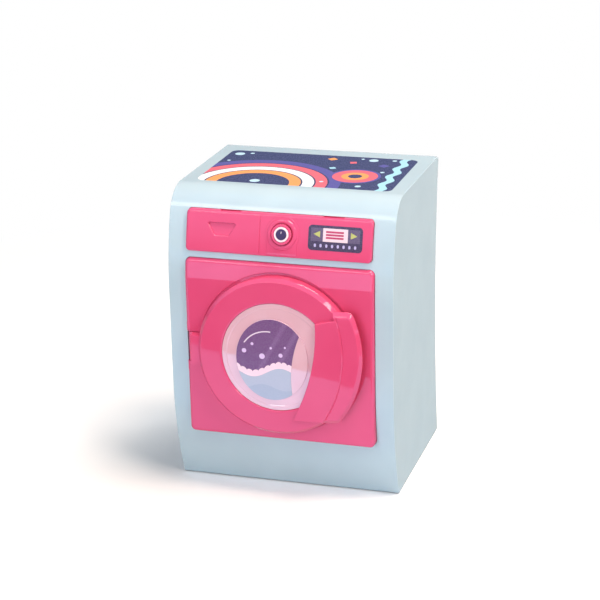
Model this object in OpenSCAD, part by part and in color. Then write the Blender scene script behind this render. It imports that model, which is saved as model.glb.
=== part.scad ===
// Toy front-loading washing machine, built from separate moulded pieces.
// The frame: +X to the right, -Y out of the front, +Z up, standing on its four foot pads at z = 0.
// Inside the modules all places are given from the cabinet's bottom rim, and in_frame() sets them down.

/* [Cabinet] */
// Width of the cabinet
cabinet_w = 150; // [146:1:156]
// Height of the cabinet from its bottom rim
cabinet_h = 200; // [199:0.5:202]
// How far the front bulges forward of the base's centre line
belly_y = 70.3; // [70.3:0.1:70.6]
// How far the middle of the back edge stands behind the base's centre line
back_mid = 48.6; // [48.4:0.1:51]
// Wall of the moulded shells
wall = 2; // [1.8:0.1:2]
// Rounding of the cabinet's long edges
edge_r = 4; // [3:0.5:5]

/* [Control fascia] */
// Width of the fascia
fascia_w = 125; // [122:1:126]
// Lowest edge of the fascia
fascia_z0 = 162.4; // [162:0.1:162.6]
// Highest edge of the fascia
fascia_z1 = 188.6; // [188:0.1:189]
// How far the fascia stands proud of the cabinet
fascia_proud = 2.6; // [2.4:0.1:3]
// Sideways place of the knob
knob_x = 2.2; // [-1:0.1:3]
// Height of the knob
knob_z = 176.2; // [175.5:0.1:177]
// Radius of the knob's grip
knob_r = 6.7; // [6.4:0.1:6.8]

/* [Door surround] */
// Width of the square plate round the door
surround_w = 126; // [124:1:127]
// Lowest edge of the plate
surround_z0 = 37.4; // [37:0.1:39]
// Highest edge of the plate
surround_z1 = 158.2; // [157:0.1:158.4]
// How far the plate stands proud of the belly
surround_proud = 3; // [2.8:0.1:3.2]
// Radius of the loading hole in the plate
loading_r = 47.5; // [47:0.1:47.8]

/* [Door] */
// Height of the door's and the drum's centre
door_z = 97.4; // [97:0.1:98]
// Radius of the door ring
ring_r = 53.2; // [53:0.1:54.2]
// How far the ring stands out of the plate
ring_h = 8; // [7.5:0.1:8.5]
// Radius of the window
window_r = 36.4; // [36:0.1:36.8]
// Radius of the arc of the handle's outer edge
handle_r = 73; // [72.5:0.1:73.5]
// Thickness of the handle plate
handle_t = 2.6; // [2.4:0.1:2.8]
// How far the door opens, in degrees
door_opens = 95; // [80:1:95]

/* [Drum] */
// Outer radius of the drum
drum_r = 44; // [43:0.1:44.5]
// Length of the drum
drum_len = 86; // [80:1:88]
// Radius of the drum's mouth
mouth_r = 40; // [39:0.1:41]

/* [Hidden] */

// fineness of curves and the sliver that keeps cuts clean
$fn = 96;
eps = 0.05;

// the frame
foot_drop = 1;                     // the foot pads hold the rim this far off the floor
frame_y = 13.9;                    // puts the middle of the whole depth on the origin

// side outline of the cabinet
lower_r = 204;                     // lower front, tucking in towards the base
lower_z = 75;
upper_r = 166;                     // upper front, leaning back
upper_z = 135;
brow_r = 22;                       // where the front turns into the top
back_r = 645;                      // hollow of the back edge
back_z = 100;
back_corner_r = 3;
edge_steps = 4;
lower_y = lower_r - belly_y;
upper_y = upper_r - belly_y;
brow_z = cabinet_h - brow_r;
brow_y = upper_y - sqrt(pow(upper_r - brow_r, 2) - pow(brow_z - upper_z, 2));
brow_a = atan2(brow_z - upper_z, upper_y - brow_y);
back_end = back_mid + back_r - sqrt(back_r * back_r - back_z * back_z);
inner_x = cabinet_w / 2 - wall;
function back_at(z) = back_mid + back_r - sqrt(back_r * back_r - pow(z - back_z, 2));

// screws
screw_r = 1.2;
pilot_r = 1.25;
pass_r = 1.6;
head_r = 2.6;
head_h = 1.2;
boss_r = 3.2;
boss_x = cabinet_w / 2 - 6.8;      // bosses stand beside the shell's side walls

// back cover and base plate
cover_inset = 1.2;                 // the cover lies this far inside the shell's back edge
cover_gap = 0.3;
cover_post = 14;
cover_sink = 0.7;                  // depth of the flat seat under each screw's head
cover_screw_z = [16, 100, 184];
base_z = 0.6;
base_front = -53.8;
base_back = 52.4;
base_screw_y = [-44, 42];
base_screw_x = 64;
base_post = 12;
pad_r = 6;
pad_x = 50;
pad_y = [-42, 40];

// labels
label_t = 0.15;
top_label = [131, 78];
top_label_y = 1;
display_label = [35.4, 14.6];
display_x = 37.2;
display_z = 175.8;

// door surround
plate_y = -belly_y - surround_proud;      // front face of the plate
plate_h = surround_z1 - surround_z0;
plate_z = (surround_z0 + surround_z1) / 2;
plate_corner = 6.5;
plate_round = 2.4;
ear_y = -63.6;                            // the ears land on the shell's bosses here
ear_z = [50, 146];

// hinge
hinge_x = -59.2;
hinge_y = plate_y + 2.3;
hinge_r = 2.8;
hinge_half = 10;                          // half the height of the door's knuckle
hinge_gap = 0.4;
hinge_block = 6;
pin_r = 1;
pin_bore = 1.05;

// door
ring_back = plate_y - 0.5;
ring_front = plate_y - ring_h;
ring_wall = 2;
ring_round = 2.6;
lens_seat = 39.6;
lens_t = 1.6;
pad_half = [24.1, 28];                    // half width and half height of the lens's raised oval
lens_oval_c = [-2.5, -1.2];               // its centre from the door's centre
cut_c = [-100.5, 21.2];                   // arc that ends the window beside the handle
cut_r = 127.8;
handle_c = [-15, 4.2];                    // centre of the arc of the handle's outer edge
handle_x = 10;
handle_low = -40.5;
handle_top = 35;
crescent_c = [86.5, -14];                 // arc that ends the lens label
crescent_r = 76.4;
liner_r = 46;
liner_screw_r = 42.4;
catch_x = 50.6;

// drum and tub
drum_front = -66;
drum_back = drum_front + drum_len;
drum_wall = 1.6;
tub_in = drum_r + 2.5;
tub_front = plate_y + wall + 2;
tub_back = drum_back + 3;
tub_screw_r = 51.4;
shaft_r = 3;
bush_out = 5;
lifter_h = 6;
lifters = 3;

// knob
knob_tilt = asin((knob_z - upper_z) / (upper_r + fascia_proud));
grip_h = 1.6;                             // straight part of the grip, over the fascia's face
grip_taper = 0.6;
dish_z = 1.7;                             // floor of the dish that holds collar and cap
collar_t = 0.7;
cap_t = 0.8;
stem_r = 2.5;
stem_bore = 2.56;
stem_end = -11.2;
drive = 3.3;                              // square end of the stem that turns the click wheel
wheel_r = 6.6;
wheel_t = 2.6;
clicks = 12;
click_post = 13;

// ---- shared shapes ----

module in_frame() translate([0, frame_y, foot_drop]) children();

// points of an arc round [y, z]
function arc(c, r, from, to, n) =
    [for (i = [0:n]) let (a = from + (to - from) * i / n) [c[0] + r * cos(a), c[1] + r * sin(a)]];

// the front outline from the bottom rim to the top, moved out by d
function front_line(d) = concat(
    arc([lower_y, lower_z], lower_r + d, 180 + asin(lower_z / (lower_r + d)), 180, 8),
    arc([upper_y, upper_z], upper_r + d, 180, 180 - brow_a, 6),
    arc([brow_y, brow_z], brow_r + d, 180 - brow_a - 3, 90, 8)
);

// what lies behind the front outline, as far back as y
module side_area(d, back, low) polygon(concat(
    [[back, low], [front_line(d)[0][0], low]], front_line(d), [[back, cabinet_h + d]]));

// the cabinet's full side outline, moved in by d, with its back still straight
module cabinet_area(d) polygon(concat(
    front_line(-d), arc([back_end - back_corner_r, cabinet_h - back_corner_r], back_corner_r - d, 90, 0, 4),
    [[back_end - d, 0]]));

// a drawing of [y, z] points pulled out along X
module along_x(w) rotate([90, 0, 90]) linear_extrude(w, center = true) children();

// a drawing of [x, z] points pulled out along Y from y0 to y1
module along_y(y0, y1) translate([0, y1, 0]) rotate([90, 0, 0]) linear_extrude(y1 - y0) children();

module rounded(w, h, r) {
    square([w, h - 2 * r], center = true);
    square([w - 2 * r, h], center = true);
    for (x = [-1, 1], z = [-1, 1]) translate([x * (w / 2 - r), z * (h / 2 - r)]) circle(r);
}

// a round bar along Y
module bar_y(r, y0, y1) translate([0, y1, 0]) rotate([90, 0, 0]) cylinder(r = r, h = y1 - y0);

// a shape turned round the door's axis, drawn as [radius, -y] so that it faces the front
module turned() translate([0, 0, door_z]) rotate([90, 0, 0]) rotate_extrude() children();

// screw along Y, its head towards +Y with the seat at y = 0
module screw_back(length) {
    bar_y(screw_r, -length, eps);
    difference() {
        bar_y(head_r, 0, head_h);
        translate([0, head_h, 0]) cube([3.4, 1.2, 0.8], center = true);
        translate([0, head_h, 0]) cube([0.8, 1.2, 3.4], center = true);
    }
}

// screw along Z, its head downwards with the seat at z = 0
module screw_up(length) rotate([-90, 0, 0]) screw_back(length);

module on_door_axis(angle, r) translate([r * cos(angle), 0, door_z + r * sin(angle)]) children();

// the knob's own frame: +Z along its axis, out of the fascia, z = 0 on the fascia's face
module on_knob() {
    r = upper_r + fascia_proud;
    translate([knob_x, upper_y - r * cos(knob_tilt), knob_z]) rotate([90 - knob_tilt, 0, 0]) children();
}

// ---- cabinet ----

// seat of a back cover screw's head, and the end of the post it bites into
function seat_at(z) = back_at(z) - cover_inset - cover_sink;
function post_end(z) = back_at(z) - cover_inset - wall - 0.5;

// the round hollow behind the back edge, its surface moved forward by d
module back_hollow(d) translate([0, back_mid + back_r, back_z]) rotate([0, 90, 0])
    cylinder(r = back_r + d, h = cabinet_w + 20, center = true, $fn = 360);

module cabinet_outside() difference() {
    hull() for (side = [-1, 1], i = [0:edge_steps])
        let (a = 90 * i / edge_steps)
        translate([side * (cabinet_w / 2 - edge_r + edge_r * sin(a) - eps / 2), 0, 0])
            along_x(eps) cabinet_area(edge_r * (1 - cos(a)));
    back_hollow(0);
    translate([0, 0, -edge_r]) cube([cabinet_w + 20, 4 * cabinet_w, 2 * edge_r], center = true);
}

module fascia_hole(clear) along_y(-90, -40)
    translate([0, (fascia_z0 + fascia_z1) / 2])
        rounded(fascia_w + 2 * clear, fascia_z1 - fascia_z0 + 2 * clear, 3);

module shell_bosses() difference() {
    intersection() {
        union() {
            for (s = [-1, 1]) {
                for (z = ear_z) translate([s * boss_x, 0, z]) bar_y(boss_r, -71, ear_y);
                translate([s * boss_x, 0, fascia_ear_z]) bar_y(boss_r, -71, fascia_ear_y);
                for (z = cover_screw_z) translate([0, post_end(z), 0]) {
                    translate([s * boss_x, 0, z]) bar_y(boss_r, -cover_post, 0);
                    translate([s * (boss_x + inner_x + 1) / 2, -cover_post / 2, z])
                        cube([inner_x + 1 - boss_x, cover_post, 2], center = true);
                }
                for (y = base_screw_y) {
                    translate([s * base_screw_x, y, base_z + wall]) cylinder(r = boss_r, h = base_post);
                    translate([s * (base_screw_x + inner_x + 1) / 2, y, base_z + wall + base_post / 2])
                        cube([inner_x + 1 - base_screw_x, 2, base_post], center = true);
                }
            }
        }
        along_x(2 * inner_x + 1) side_area(-wall / 2, 80, -1);
    }
    for (s = [-1, 1]) {
        for (z = ear_z) translate([s * boss_x, 0, z]) bar_y(pilot_r, -66.6, ear_y + 1);
        translate([s * boss_x, 0, fascia_ear_z]) bar_y(pilot_r, -63.4, fascia_ear_y + 1);
        for (z = cover_screw_z) translate([s * boss_x, post_end(z), z]) bar_y(pilot_r, -10, 1);
        for (y = base_screw_y) translate([s * base_screw_x, y, base_z]) cylinder(r = pilot_r, h = 11);
    }
}

module cabinet_shell() in_frame() color("#c3dbe4") {
    difference() {
        cabinet_outside();
        along_x(2 * inner_x) side_area(-wall, 80, -10);
        along_y(-90, -40) translate([0, plate_z])
            rounded(surround_w + 0.5, plate_h + 0.5, plate_corner + 0.25);
        fascia_hole(0.25);
    }
    shell_bosses();
}

// the cover follows the hollow of the shell's back edge
module back_cover() in_frame() color("#c3dbe4") difference() {
    translate([-inner_x + cover_gap, 20, base_z])
        cube([2 * (inner_x - cover_gap), 60, cabinet_h - wall - cover_gap - base_z]);
    back_hollow(cover_inset);
    difference() {
        translate([0, 0, cabinet_h / 2]) cube([cabinet_w, 4 * cabinet_w, 2 * cabinet_h], center = true);
        back_hollow(cover_inset + wall);
    }
    for (s = [-1, 1], z = cover_screw_z) translate([s * boss_x, seat_at(z), z]) {
        bar_y(pass_r, -4, 4);
        bar_y(head_r + 0.4, 0, 4);
    }
    for (i = [-3:3]) translate([0, back_mid, 150 + 6 * i]) cube([64, 20, 2.4], center = true);
}

module back_cover_screws() in_frame() color("#9aa0a6")
    for (s = [-1, 1], z = cover_screw_z) translate([s * boss_x, seat_at(z), z]) screw_back(9);

module base_plate() in_frame() color("#c3dbe4") difference() {
    translate([-inner_x + cover_gap, base_front, base_z])
        cube([2 * (inner_x - cover_gap), base_back - base_front, wall]);
    for (s = [-1, 1], y = base_screw_y)
        translate([s * base_screw_x, y, base_z - 1]) cylinder(r = pass_r, h = wall + 2);
}

module base_screws() in_frame() color("#9aa0a6")
    for (s = [-1, 1], y = base_screw_y) translate([s * base_screw_x, y, base_z]) screw_up(10);

module foot_pads() in_frame() color("#e8ecee")
    for (s = [-1, 1], y = pad_y) translate([s * pad_x, y, -foot_drop]) cylinder(r = pad_r, h = foot_drop + base_z);

module top_label() in_frame() color("#3b4270")
    translate([0, top_label_y, cabinet_h]) linear_extrude(label_t) rounded(top_label[0], top_label[1], 5);

// ---- control fascia ----

fascia_ear_z = 175;
fascia_ear_y = -58;
seam_x = -12.6;
grip_top = 18;
grip_low = 10.4;
grip_x = -38.2;
grip_z = [173, 181];
slot_x = 34;
slot_w = 14;

module fascia_skin(d0, d1) difference() {
    along_x(cabinet_w) side_area(d0, 0, 0);
    along_x(cabinet_w + 2) side_area(d1, 1, -1);
}

module fascia_blank() {
    intersection() {
        fascia_skin(fascia_proud, -wall - 1.4);
        fascia_hole(0);
    }
    for (s = [-1, 1]) translate([s * (fascia_w / 2 + 3.4), fascia_ear_y + 0.9, fascia_ear_z])
        cube([10, 1.8, 8], center = true);
    for (s = [-1, 1]) translate([s * (fascia_w / 2 - 0.8), (fascia_ear_y - 66) / 2 + 0.9, fascia_ear_z])
        cube([1.6, fascia_ear_y + 67.8, 8], center = true);
}

module fascia_hollow() intersection() {
    fascia_skin(fascia_proud - 2.2, -wall - 3);
    along_y(-90, -40) translate([0, (fascia_z0 + fascia_z1) / 2])
        rounded(fascia_w - 3.2, fascia_z1 - fascia_z0 - 3.2, 1.4);
}

module control_fascia() in_frame() color("#ee4f86") difference() {
    union() {
        difference() {
            fascia_blank();
            fascia_hollow();
        }
        // raised ring round the knob and the bearing behind it
        on_knob() {
            translate([0, 0, -2]) cylinder(r = 9.4, h = 2.9);
            translate([0, 0, -8]) cylinder(r = 4.6, h = 8);
        }
        // post that carries the click spring
        on_knob() translate([click_post, 0, -8]) cylinder(r = 2.6, h = 7.5);
    }
    on_knob() {
        translate([0, 0, -0.6]) cylinder(r = 7.5, h = 3);
        translate([0, 0, -10]) cylinder(r = stem_bore, h = 14);
        translate([click_post, 0, -9]) cylinder(r = 0.85, h = 6);
    }
    // the seam and the grip that make the left part look like a drawer
    translate([seam_x, -66, (fascia_z0 + fascia_z1) / 2])
        intersection() {
            cube([0.5, 14, 24], center = true);
            translate([-seam_x, 66, -(fascia_z0 + fascia_z1) / 2])
                fascia_skin(fascia_proud + 1, fascia_proud - 0.5);
        }
    intersection() {
        fascia_skin(fascia_proud + 1, fascia_proud - 1.5);
        along_y(-90, -50) polygon([
            [grip_x - grip_low / 2, grip_z[0]], [grip_x + grip_low / 2, grip_z[0]],
            [grip_x + grip_top / 2, grip_z[1]], [grip_x - grip_top / 2, grip_z[1]]]);
    }
    for (s = [-1, 1]) translate([s * boss_x, 0, fascia_ear_z])
        bar_y(pass_r, fascia_ear_y - 1, fascia_ear_y + 3);
    // two clip slots in the top edge
    for (s = [-1, 1]) translate([s * slot_x + 1, -61.5, fascia_z1]) cube([slot_w, 2.2, 1.6], center = true);
}

module fascia_screws() in_frame() color("#9aa0a6")
    for (s = [-1, 1]) translate([s * boss_x, fascia_ear_y + 1.8, fascia_ear_z]) screw_back(6);

module display_label() in_frame() color("#3b2050") intersection() {
    fascia_skin(fascia_proud + label_t, fascia_proud);
    along_y(-90, -40) translate([display_x, display_z]) rounded(display_label[0], display_label[1], 2.4);
}

// ---- knob and its click ----

module knob() in_frame() color("#f25c92") on_knob() {
    difference() {
        union() {
            cylinder(r = knob_r, h = grip_h);
            translate([0, 0, grip_h]) cylinder(r1 = knob_r, r2 = knob_r - grip_taper, h = grip_taper, $fn = 48);
        }
        for (i = [0:23]) rotate(i * 15) translate([knob_r + 0.25, 0, 0.4]) cylinder(r = 0.6, h = 4, $fn = 16);
        translate([0, 0, dish_z]) cylinder(r = 5.1, h = 2);
    }
    difference() {
        union() {
            translate([0, 0, -8.2]) cylinder(r = stem_r, h = 8.3);
            translate([0, 0, stem_end + 1.5]) cube([drive, drive, 3], center = true);
        }
        translate([0, 0, stem_end - 1]) cylinder(r = pilot_r, h = 7);
    }
}

module knob_collar() in_frame() color("#f9dfe6") on_knob() difference() {
    translate([0, 0, dish_z]) cylinder(r = 5.05, h = collar_t);
    translate([0, 0, dish_z - 1]) cylinder(r = 3.7, h = 3);
}

module knob_cap() in_frame() color("#4a2340") on_knob() translate([0, 0, dish_z]) cylinder(r = 3.65, h = cap_t);

module click_wheel() in_frame() color("#f4f4f2") on_knob() difference() {
    translate([0, 0, -10.9]) cylinder(r = wheel_r, h = wheel_t);
    for (i = [0:clicks - 1]) rotate(i * 360 / clicks)
        translate([wheel_r + 0.3, 0, -12]) cylinder(r = 1.1, h = 5, $fn = 24);
    translate([0, 0, -10]) cube([drive + 0.06, drive + 0.06, 5], center = true);
}

module knob_washer() in_frame() color("#c9ccd0") on_knob() difference() {
    translate([0, 0, stem_end - 0.6]) cylinder(r = 4, h = 0.6);
    translate([0, 0, stem_end - 2]) cylinder(r = screw_r + 0.1, h = 4);
}

module knob_screw() in_frame() color("#9aa0a6") on_knob() translate([0, 0, stem_end - 0.6]) {
    translate([0, 0, -head_h]) cylinder(r = head_r, h = head_h);
    translate([0, 0, -0.1]) cylinder(r = screw_r, h = 5.5);
}

// a strip of spring steel, screwed to its post, with a bent end that drops into the wheel's notches
module click_spring() in_frame() color("#b9bdc2") on_knob() difference() {
    union() {
        translate([click_post, 0, -8.3]) cylinder(r = 2.6, h = 0.3);
        translate([7.9, -1.6, -8.3]) cube([click_post - 9, 3.2, 0.3]);
        translate([7.9, -1.6, -10.8]) cube([0.35, 3.2, 2.7]);
        translate([7.3, 0, -10.8]) cylinder(r = 0.8, h = 2.4, $fn = 24);
    }
    translate([click_post, 0, -9]) cylinder(r = 1.3, h = 3);
}

module click_spring_screw() in_frame() color("#9aa0a6") on_knob() translate([click_post, 0, -8.3]) {
    translate([0, 0, -1]) cylinder(r = 2, h = 1);
    translate([0, 0, -0.1]) cylinder(r = 0.8, h = 5);
}

// ---- door surround ----

module plate_blank() {
    hull() for (i = [0:3]) let (a = 30 * i)
        along_y(plate_y + plate_round * (1 - sin(a)), plate_y + plate_round * (1 - sin(a)) + 0.01)
            translate([0, plate_z]) rounded($fn = 32, surround_w - 2 * plate_round * (1 - cos(a)),
                plate_h - 2 * plate_round * (1 - cos(a)), plate_corner - plate_round * (1 - cos(a)));
    along_y(plate_y + plate_round, ear_y + wall) translate([0, plate_z])
        rounded(surround_w, plate_h, plate_corner);
}

module door_surround() in_frame() color("#ee4f86") difference() {
    union() {
        difference() {
            plate_blank();
            along_y(plate_y + wall, ear_y + 5) translate([0, plate_z])
                rounded(surround_w - 2 * wall, plate_h - 2 * wall, plate_corner - wall);
        }
        for (s = [-1, 1], z = ear_z) translate([s * (boss_x - 0.8), ear_y + wall / 2, z])
            cube([10, wall, 8], center = true);
        // blocks that hold the hinge pin above and below the door's knuckle
        translate([-surround_w / 2 + 0.2, plate_y + 1, door_z - hinge_half - hinge_gap - hinge_block])
            cube([8.4, 8.6, 2 * (hinge_half + hinge_gap + hinge_block)]);
        for (a = [45:90:315]) on_door_axis(a, tub_screw_r) bar_y(boss_r, plate_y + 1, tub_front);
    }
    along_y(plate_y - 1, tub_back) translate([0, door_z]) circle(loading_r);
    // notch for the knuckle, open to the left
    translate([-surround_w / 2 - 1, plate_y - 1, door_z - hinge_half - hinge_gap])
        cube([9.4, hinge_r + 2.3 + 1.4, 2 * (hinge_half + hinge_gap)]);
    translate([hinge_x, hinge_y, door_z]) cylinder(r = pin_r, h = 2 * (hinge_half + hinge_block) - 1.2, center = true);
    for (s = [-1, 1], z = ear_z) translate([s * boss_x, 0, z]) bar_y(pass_r, ear_y - 1, ear_y + wall + 1);
    for (a = [45:90:315]) on_door_axis(a, tub_screw_r) bar_y(pilot_r, plate_y + 1.2, tub_front + 1);
    // hole for the door's catch
    translate([catch_x, 0, door_z]) bar_y(1.5, plate_y - 1, plate_y + wall + 1);
}

module surround_screws() in_frame() color("#9aa0a6")
    for (s = [-1, 1], z = ear_z) translate([s * boss_x, ear_y + wall, z]) screw_back(4.8);

module hinge_pin() in_frame() color("#c9ccd0")
    translate([hinge_x, hinge_y, door_z]) cylinder(r = pin_r, h = 2 * (hinge_half + hinge_block) - 1.4, center = true);

// ---- door ----

// the handle seen from the front: between the arc that ends the window and the outer edge
module handle_area() difference() {
    intersection() {
        translate(handle_c) circle(handle_r, $fn = 180);
        translate([handle_x, handle_low]) square([handle_r, handle_top - handle_low]);
    }
    translate(cut_c) circle(cut_r, $fn = 240);
}

module door_ring() in_frame() color("#f0407d") {
    difference() {
        union() {
            turned() polygon(concat(
                [[ring_r - ring_wall, -ring_back], [ring_r, -ring_back]],
                arc([ring_r - ring_round, -ring_front - ring_round], ring_round, 0, 90, 6),
                [[window_r, -ring_front], [window_r, -ring_front - ring_wall],
                 [ring_r - ring_wall, -ring_front - ring_wall]]));
            for (a = [30, 150, 210, 330]) on_door_axis(a, liner_screw_r)
                bar_y(2.8, ring_front + 1, ring_back - 1.6);
            // handle plate: over the ring and past its rim, where fingers pull it
            translate([0, 0, door_z]) along_y(ring_front - handle_t, ring_front + 0.2) handle_area();
            // knuckle and its arm
            translate([hinge_x, hinge_y, door_z]) cylinder(r = hinge_r, h = 2 * hinge_half, center = true);
            translate([hinge_x + 1, ring_front + 2.2, door_z - hinge_half])
                cube([7, hinge_y - ring_front - 4.6, 2 * hinge_half]);
            translate([hinge_x + 0.6, hinge_y - 2.6, door_z - hinge_half]) cube([3.6, 1.6, 2 * hinge_half]);
            // catch peg
            translate([catch_x, 0, door_z]) bar_y(1.2, ring_front + 1, plate_y + 3.4);
        }
        translate([hinge_x, hinge_y, door_z]) cylinder(r = pin_bore, h = 60, center = true);
        for (a = [30, 150, 210, 330]) on_door_axis(a, liner_screw_r)
            bar_y(pilot_r, ring_front + 1.4, ring_back);
    }
}

module lens_oval(trim) resize([2 * (pad_half[0] - trim), 2 * (pad_half[1] - trim)]) circle(pad_half[1]);

module door_lens() in_frame() color("#f6eef0") translate([0, 0, door_z]) {
    along_y(ring_front + ring_wall, ring_front + ring_wall + lens_t) circle(lens_seat);
    along_y(ring_front + 0.7, ring_front + ring_wall + 0.1) circle(window_r - 0.1);
    translate([lens_oval_c[0], 0, lens_oval_c[1]]) along_y(ring_front + 0.2, ring_front + 0.8) lens_oval(0);
}

module lens_label() in_frame() color("#3b2357")
    translate([0, 0, door_z]) along_y(ring_front + 0.2 - label_t, ring_front + 0.2) difference() {
        translate(lens_oval_c) lens_oval(0.5);
        translate(crescent_c) circle(crescent_r, $fn = 200);
    }

module door_liner() in_frame() color("#fbfbfa") difference() {
    turned() polygon([
        [window_r - 2, -ring_front - ring_wall - lens_t], [liner_r, -ring_front - ring_wall - lens_t],
        [liner_r, -plate_y + 0.9], [window_r - 2, -plate_y + 0.9]]);
    for (a = [30, 150, 210, 330]) on_door_axis(a, liner_screw_r) {
        bar_y(3, ring_front, ring_back - 1.6);
        bar_y(pass_r, ring_front, plate_y + 1);
    }
}

module liner_screws() in_frame() color("#9aa0a6")
    for (a = [30, 150, 210, 330]) on_door_axis(a, liner_screw_r) translate([0, plate_y - 0.9, 0]) screw_back(4);

// ---- tub and drum ----

module tub() in_frame() color("#f4f6f6") difference() {
    union() {
        turned() polygon([
            [tub_in, -tub_front], [54, -tub_front], [54, -tub_front - wall], [tub_in + 1.6, -tub_front - wall],
            [tub_in + 1.6, -tub_back - wall], [bush_out, -tub_back - wall],
            [bush_out, -tub_back], [tub_in, -tub_back]]);
        for (a = [0:60:300]) on_door_axis(a, 24) translate([0, tub_back + wall, 0])
            rotate([0, -a, 0]) cube([34, 3, 1.6], center = true);
        turned() polygon([
            [bush_out, -tub_back - wall - 6], [bush_out + 2.4, -tub_back - wall - 6],
            [bush_out + 2.4, -tub_back - wall], [bush_out, -tub_back - wall]]);
    }
    for (a = [45:90:315]) on_door_axis(a, tub_screw_r) bar_y(pass_r, tub_front - 1, tub_front + wall + 1);
}

module tub_screws() in_frame() color("#9aa0a6")
    for (a = [45:90:315]) on_door_axis(a, tub_screw_r) translate([0, tub_front + wall, 0]) screw_back(3.2);

module drum_bush() in_frame() color("#d9b565") turned() polygon([
    [shaft_r + 0.05, -tub_back + 1], [bush_out + 1.6, -tub_back + 1], [bush_out + 1.6, -tub_back],
    [bush_out, -tub_back], [bush_out, -tub_back - wall - 6], [shaft_r + 0.05, -tub_back - wall - 6]]);

module drum() in_frame() color("#eef1f2") difference() {
    union() {
        turned() polygon([
            [mouth_r, -drum_front], [drum_r - 1, -drum_front], [drum_r, -drum_front - 1],
            [drum_r, -drum_back], [0, -drum_back], [0, -drum_back + drum_wall],
            [drum_r - drum_wall, -drum_back + drum_wall], [drum_r - drum_wall, -drum_front - drum_wall],
            [mouth_r, -drum_front - drum_wall]]);
        translate([0, 0, door_z]) bar_y(6, drum_back - eps, drum_back + 1.6);
        translate([0, 0, door_z]) bar_y(shaft_r, drum_back, tub_back + wall + 7);
        for (a = [90:360 / lifters:449]) translate([0, 0, door_z]) rotate([0, -a, 0])
            translate([drum_r - drum_wall - lifter_h, drum_front + 8, -2.2])
                cube([lifter_h + 0.4, drum_len - 9, 4.4]);
    }
    for (a = [0:45:315]) on_door_axis(a + 22.5, 26) bar_y(2.4, drum_back - 4, drum_back + 1);
    for (i = [0:3], a = [30:60:330]) translate([0, drum_front + 18 + 17 * i, door_z])
        rotate([0, -a, 0]) translate([drum_r - 4, 0, 0]) rotate([0, 90, 0]) cylinder(r = 2.2, h = 8);
    translate([0, 0, door_z]) bar_y(pilot_r, tub_back, tub_back + wall + 8);
}

module drum_washer() in_frame() color("#c9ccd0") translate([0, 0, door_z]) difference() {
    bar_y(6, tub_back + wall + 7, tub_back + wall + 8);
    bar_y(screw_r + 0.1, tub_back + wall + 6, tub_back + wall + 9);
}

module drum_screw() in_frame() color("#9aa0a6")
    translate([0, tub_back + wall + 8, door_z]) screw_back(6);

cabinet_shell();
back_cover();
back_cover_screws();
base_plate();
base_screws();
foot_pads();
top_label();
control_fascia();
fascia_screws();
display_label();
knob();
knob_collar();
knob_cap();
click_wheel();
knob_washer();
knob_screw();
click_spring();
click_spring_screw();
door_surround();
surround_screws();
hinge_pin();
door_ring();
door_lens();
lens_label();
door_liner();
liner_screws();
tub();
tub_screws();
drum_bush();
drum();
drum_washer();
drum_screw();
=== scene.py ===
"""Visual model of a toy front-loading washing machine, dressed over its construction frame.

Every shape is worked in millimetres in the cabinet's own coordinates: the origin lies at the middle of
the bottom rim, X runs to the right, Y to the back and Z up.  set_down() scales a worked shape to metres
and moves it to where the frame holds the cabinet.
"""

import logging
import math
from dataclasses import dataclass
from enum import Enum
from typing import Callable

import bmesh
import bpy
from mathutils import Matrix, Vector


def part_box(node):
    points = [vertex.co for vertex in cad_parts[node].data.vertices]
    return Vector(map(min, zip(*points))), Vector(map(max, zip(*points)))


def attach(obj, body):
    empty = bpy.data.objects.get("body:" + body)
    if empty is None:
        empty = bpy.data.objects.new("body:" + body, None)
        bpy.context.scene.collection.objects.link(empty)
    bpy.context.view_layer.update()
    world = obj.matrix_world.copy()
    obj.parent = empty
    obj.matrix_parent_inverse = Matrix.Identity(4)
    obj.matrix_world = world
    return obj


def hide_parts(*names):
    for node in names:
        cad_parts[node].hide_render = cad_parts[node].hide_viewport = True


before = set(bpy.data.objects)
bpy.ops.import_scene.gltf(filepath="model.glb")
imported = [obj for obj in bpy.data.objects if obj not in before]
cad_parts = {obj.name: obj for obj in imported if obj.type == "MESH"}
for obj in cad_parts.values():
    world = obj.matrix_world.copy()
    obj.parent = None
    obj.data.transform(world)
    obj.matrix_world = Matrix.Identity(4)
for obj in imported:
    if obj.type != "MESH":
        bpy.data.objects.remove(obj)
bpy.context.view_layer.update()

log = logging.getLogger("toy_washer")

Shape = bmesh.types.BMesh
Socket = bpy.types.NodeSocket
Pair = tuple[float, float]
Triple = tuple[float, float, float]
Colour = tuple[float, float, float, float]
Outline = list[Pair]

MM = 0.001
NEAR = 1e-3                    # places closer than this, in mm, are the same
CRISP = math.radians(32)       # edges that bend by more than this stay crisp in the shading
SHARP = math.radians(40)       # edges that bend by more than this are broken by soften()


# ---------------------------------------------------------------- shared shapes

class Body(Enum):
    """The bodies that pieces ride on."""

    CABINET = "cabinet"
    DOOR = "door"
    KNOB = "knob"
    DRUM = "drum"


class Carve(Enum):
    """Ways of working one shape with another."""

    CUT = "DIFFERENCE"
    JOIN = "UNION"


FACING_FRONT = Matrix.Rotation(math.radians(90), 4, "X")       # local z comes out of the front
ALONG_X = Matrix(((0, 0, 1, 0), (1, 0, 0, 0), (0, 1, 0, 0), (0, 0, 0, 1)))   # local x, y, z are Y, Z, X
ALONG_Z = Matrix.Identity(4)


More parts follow.
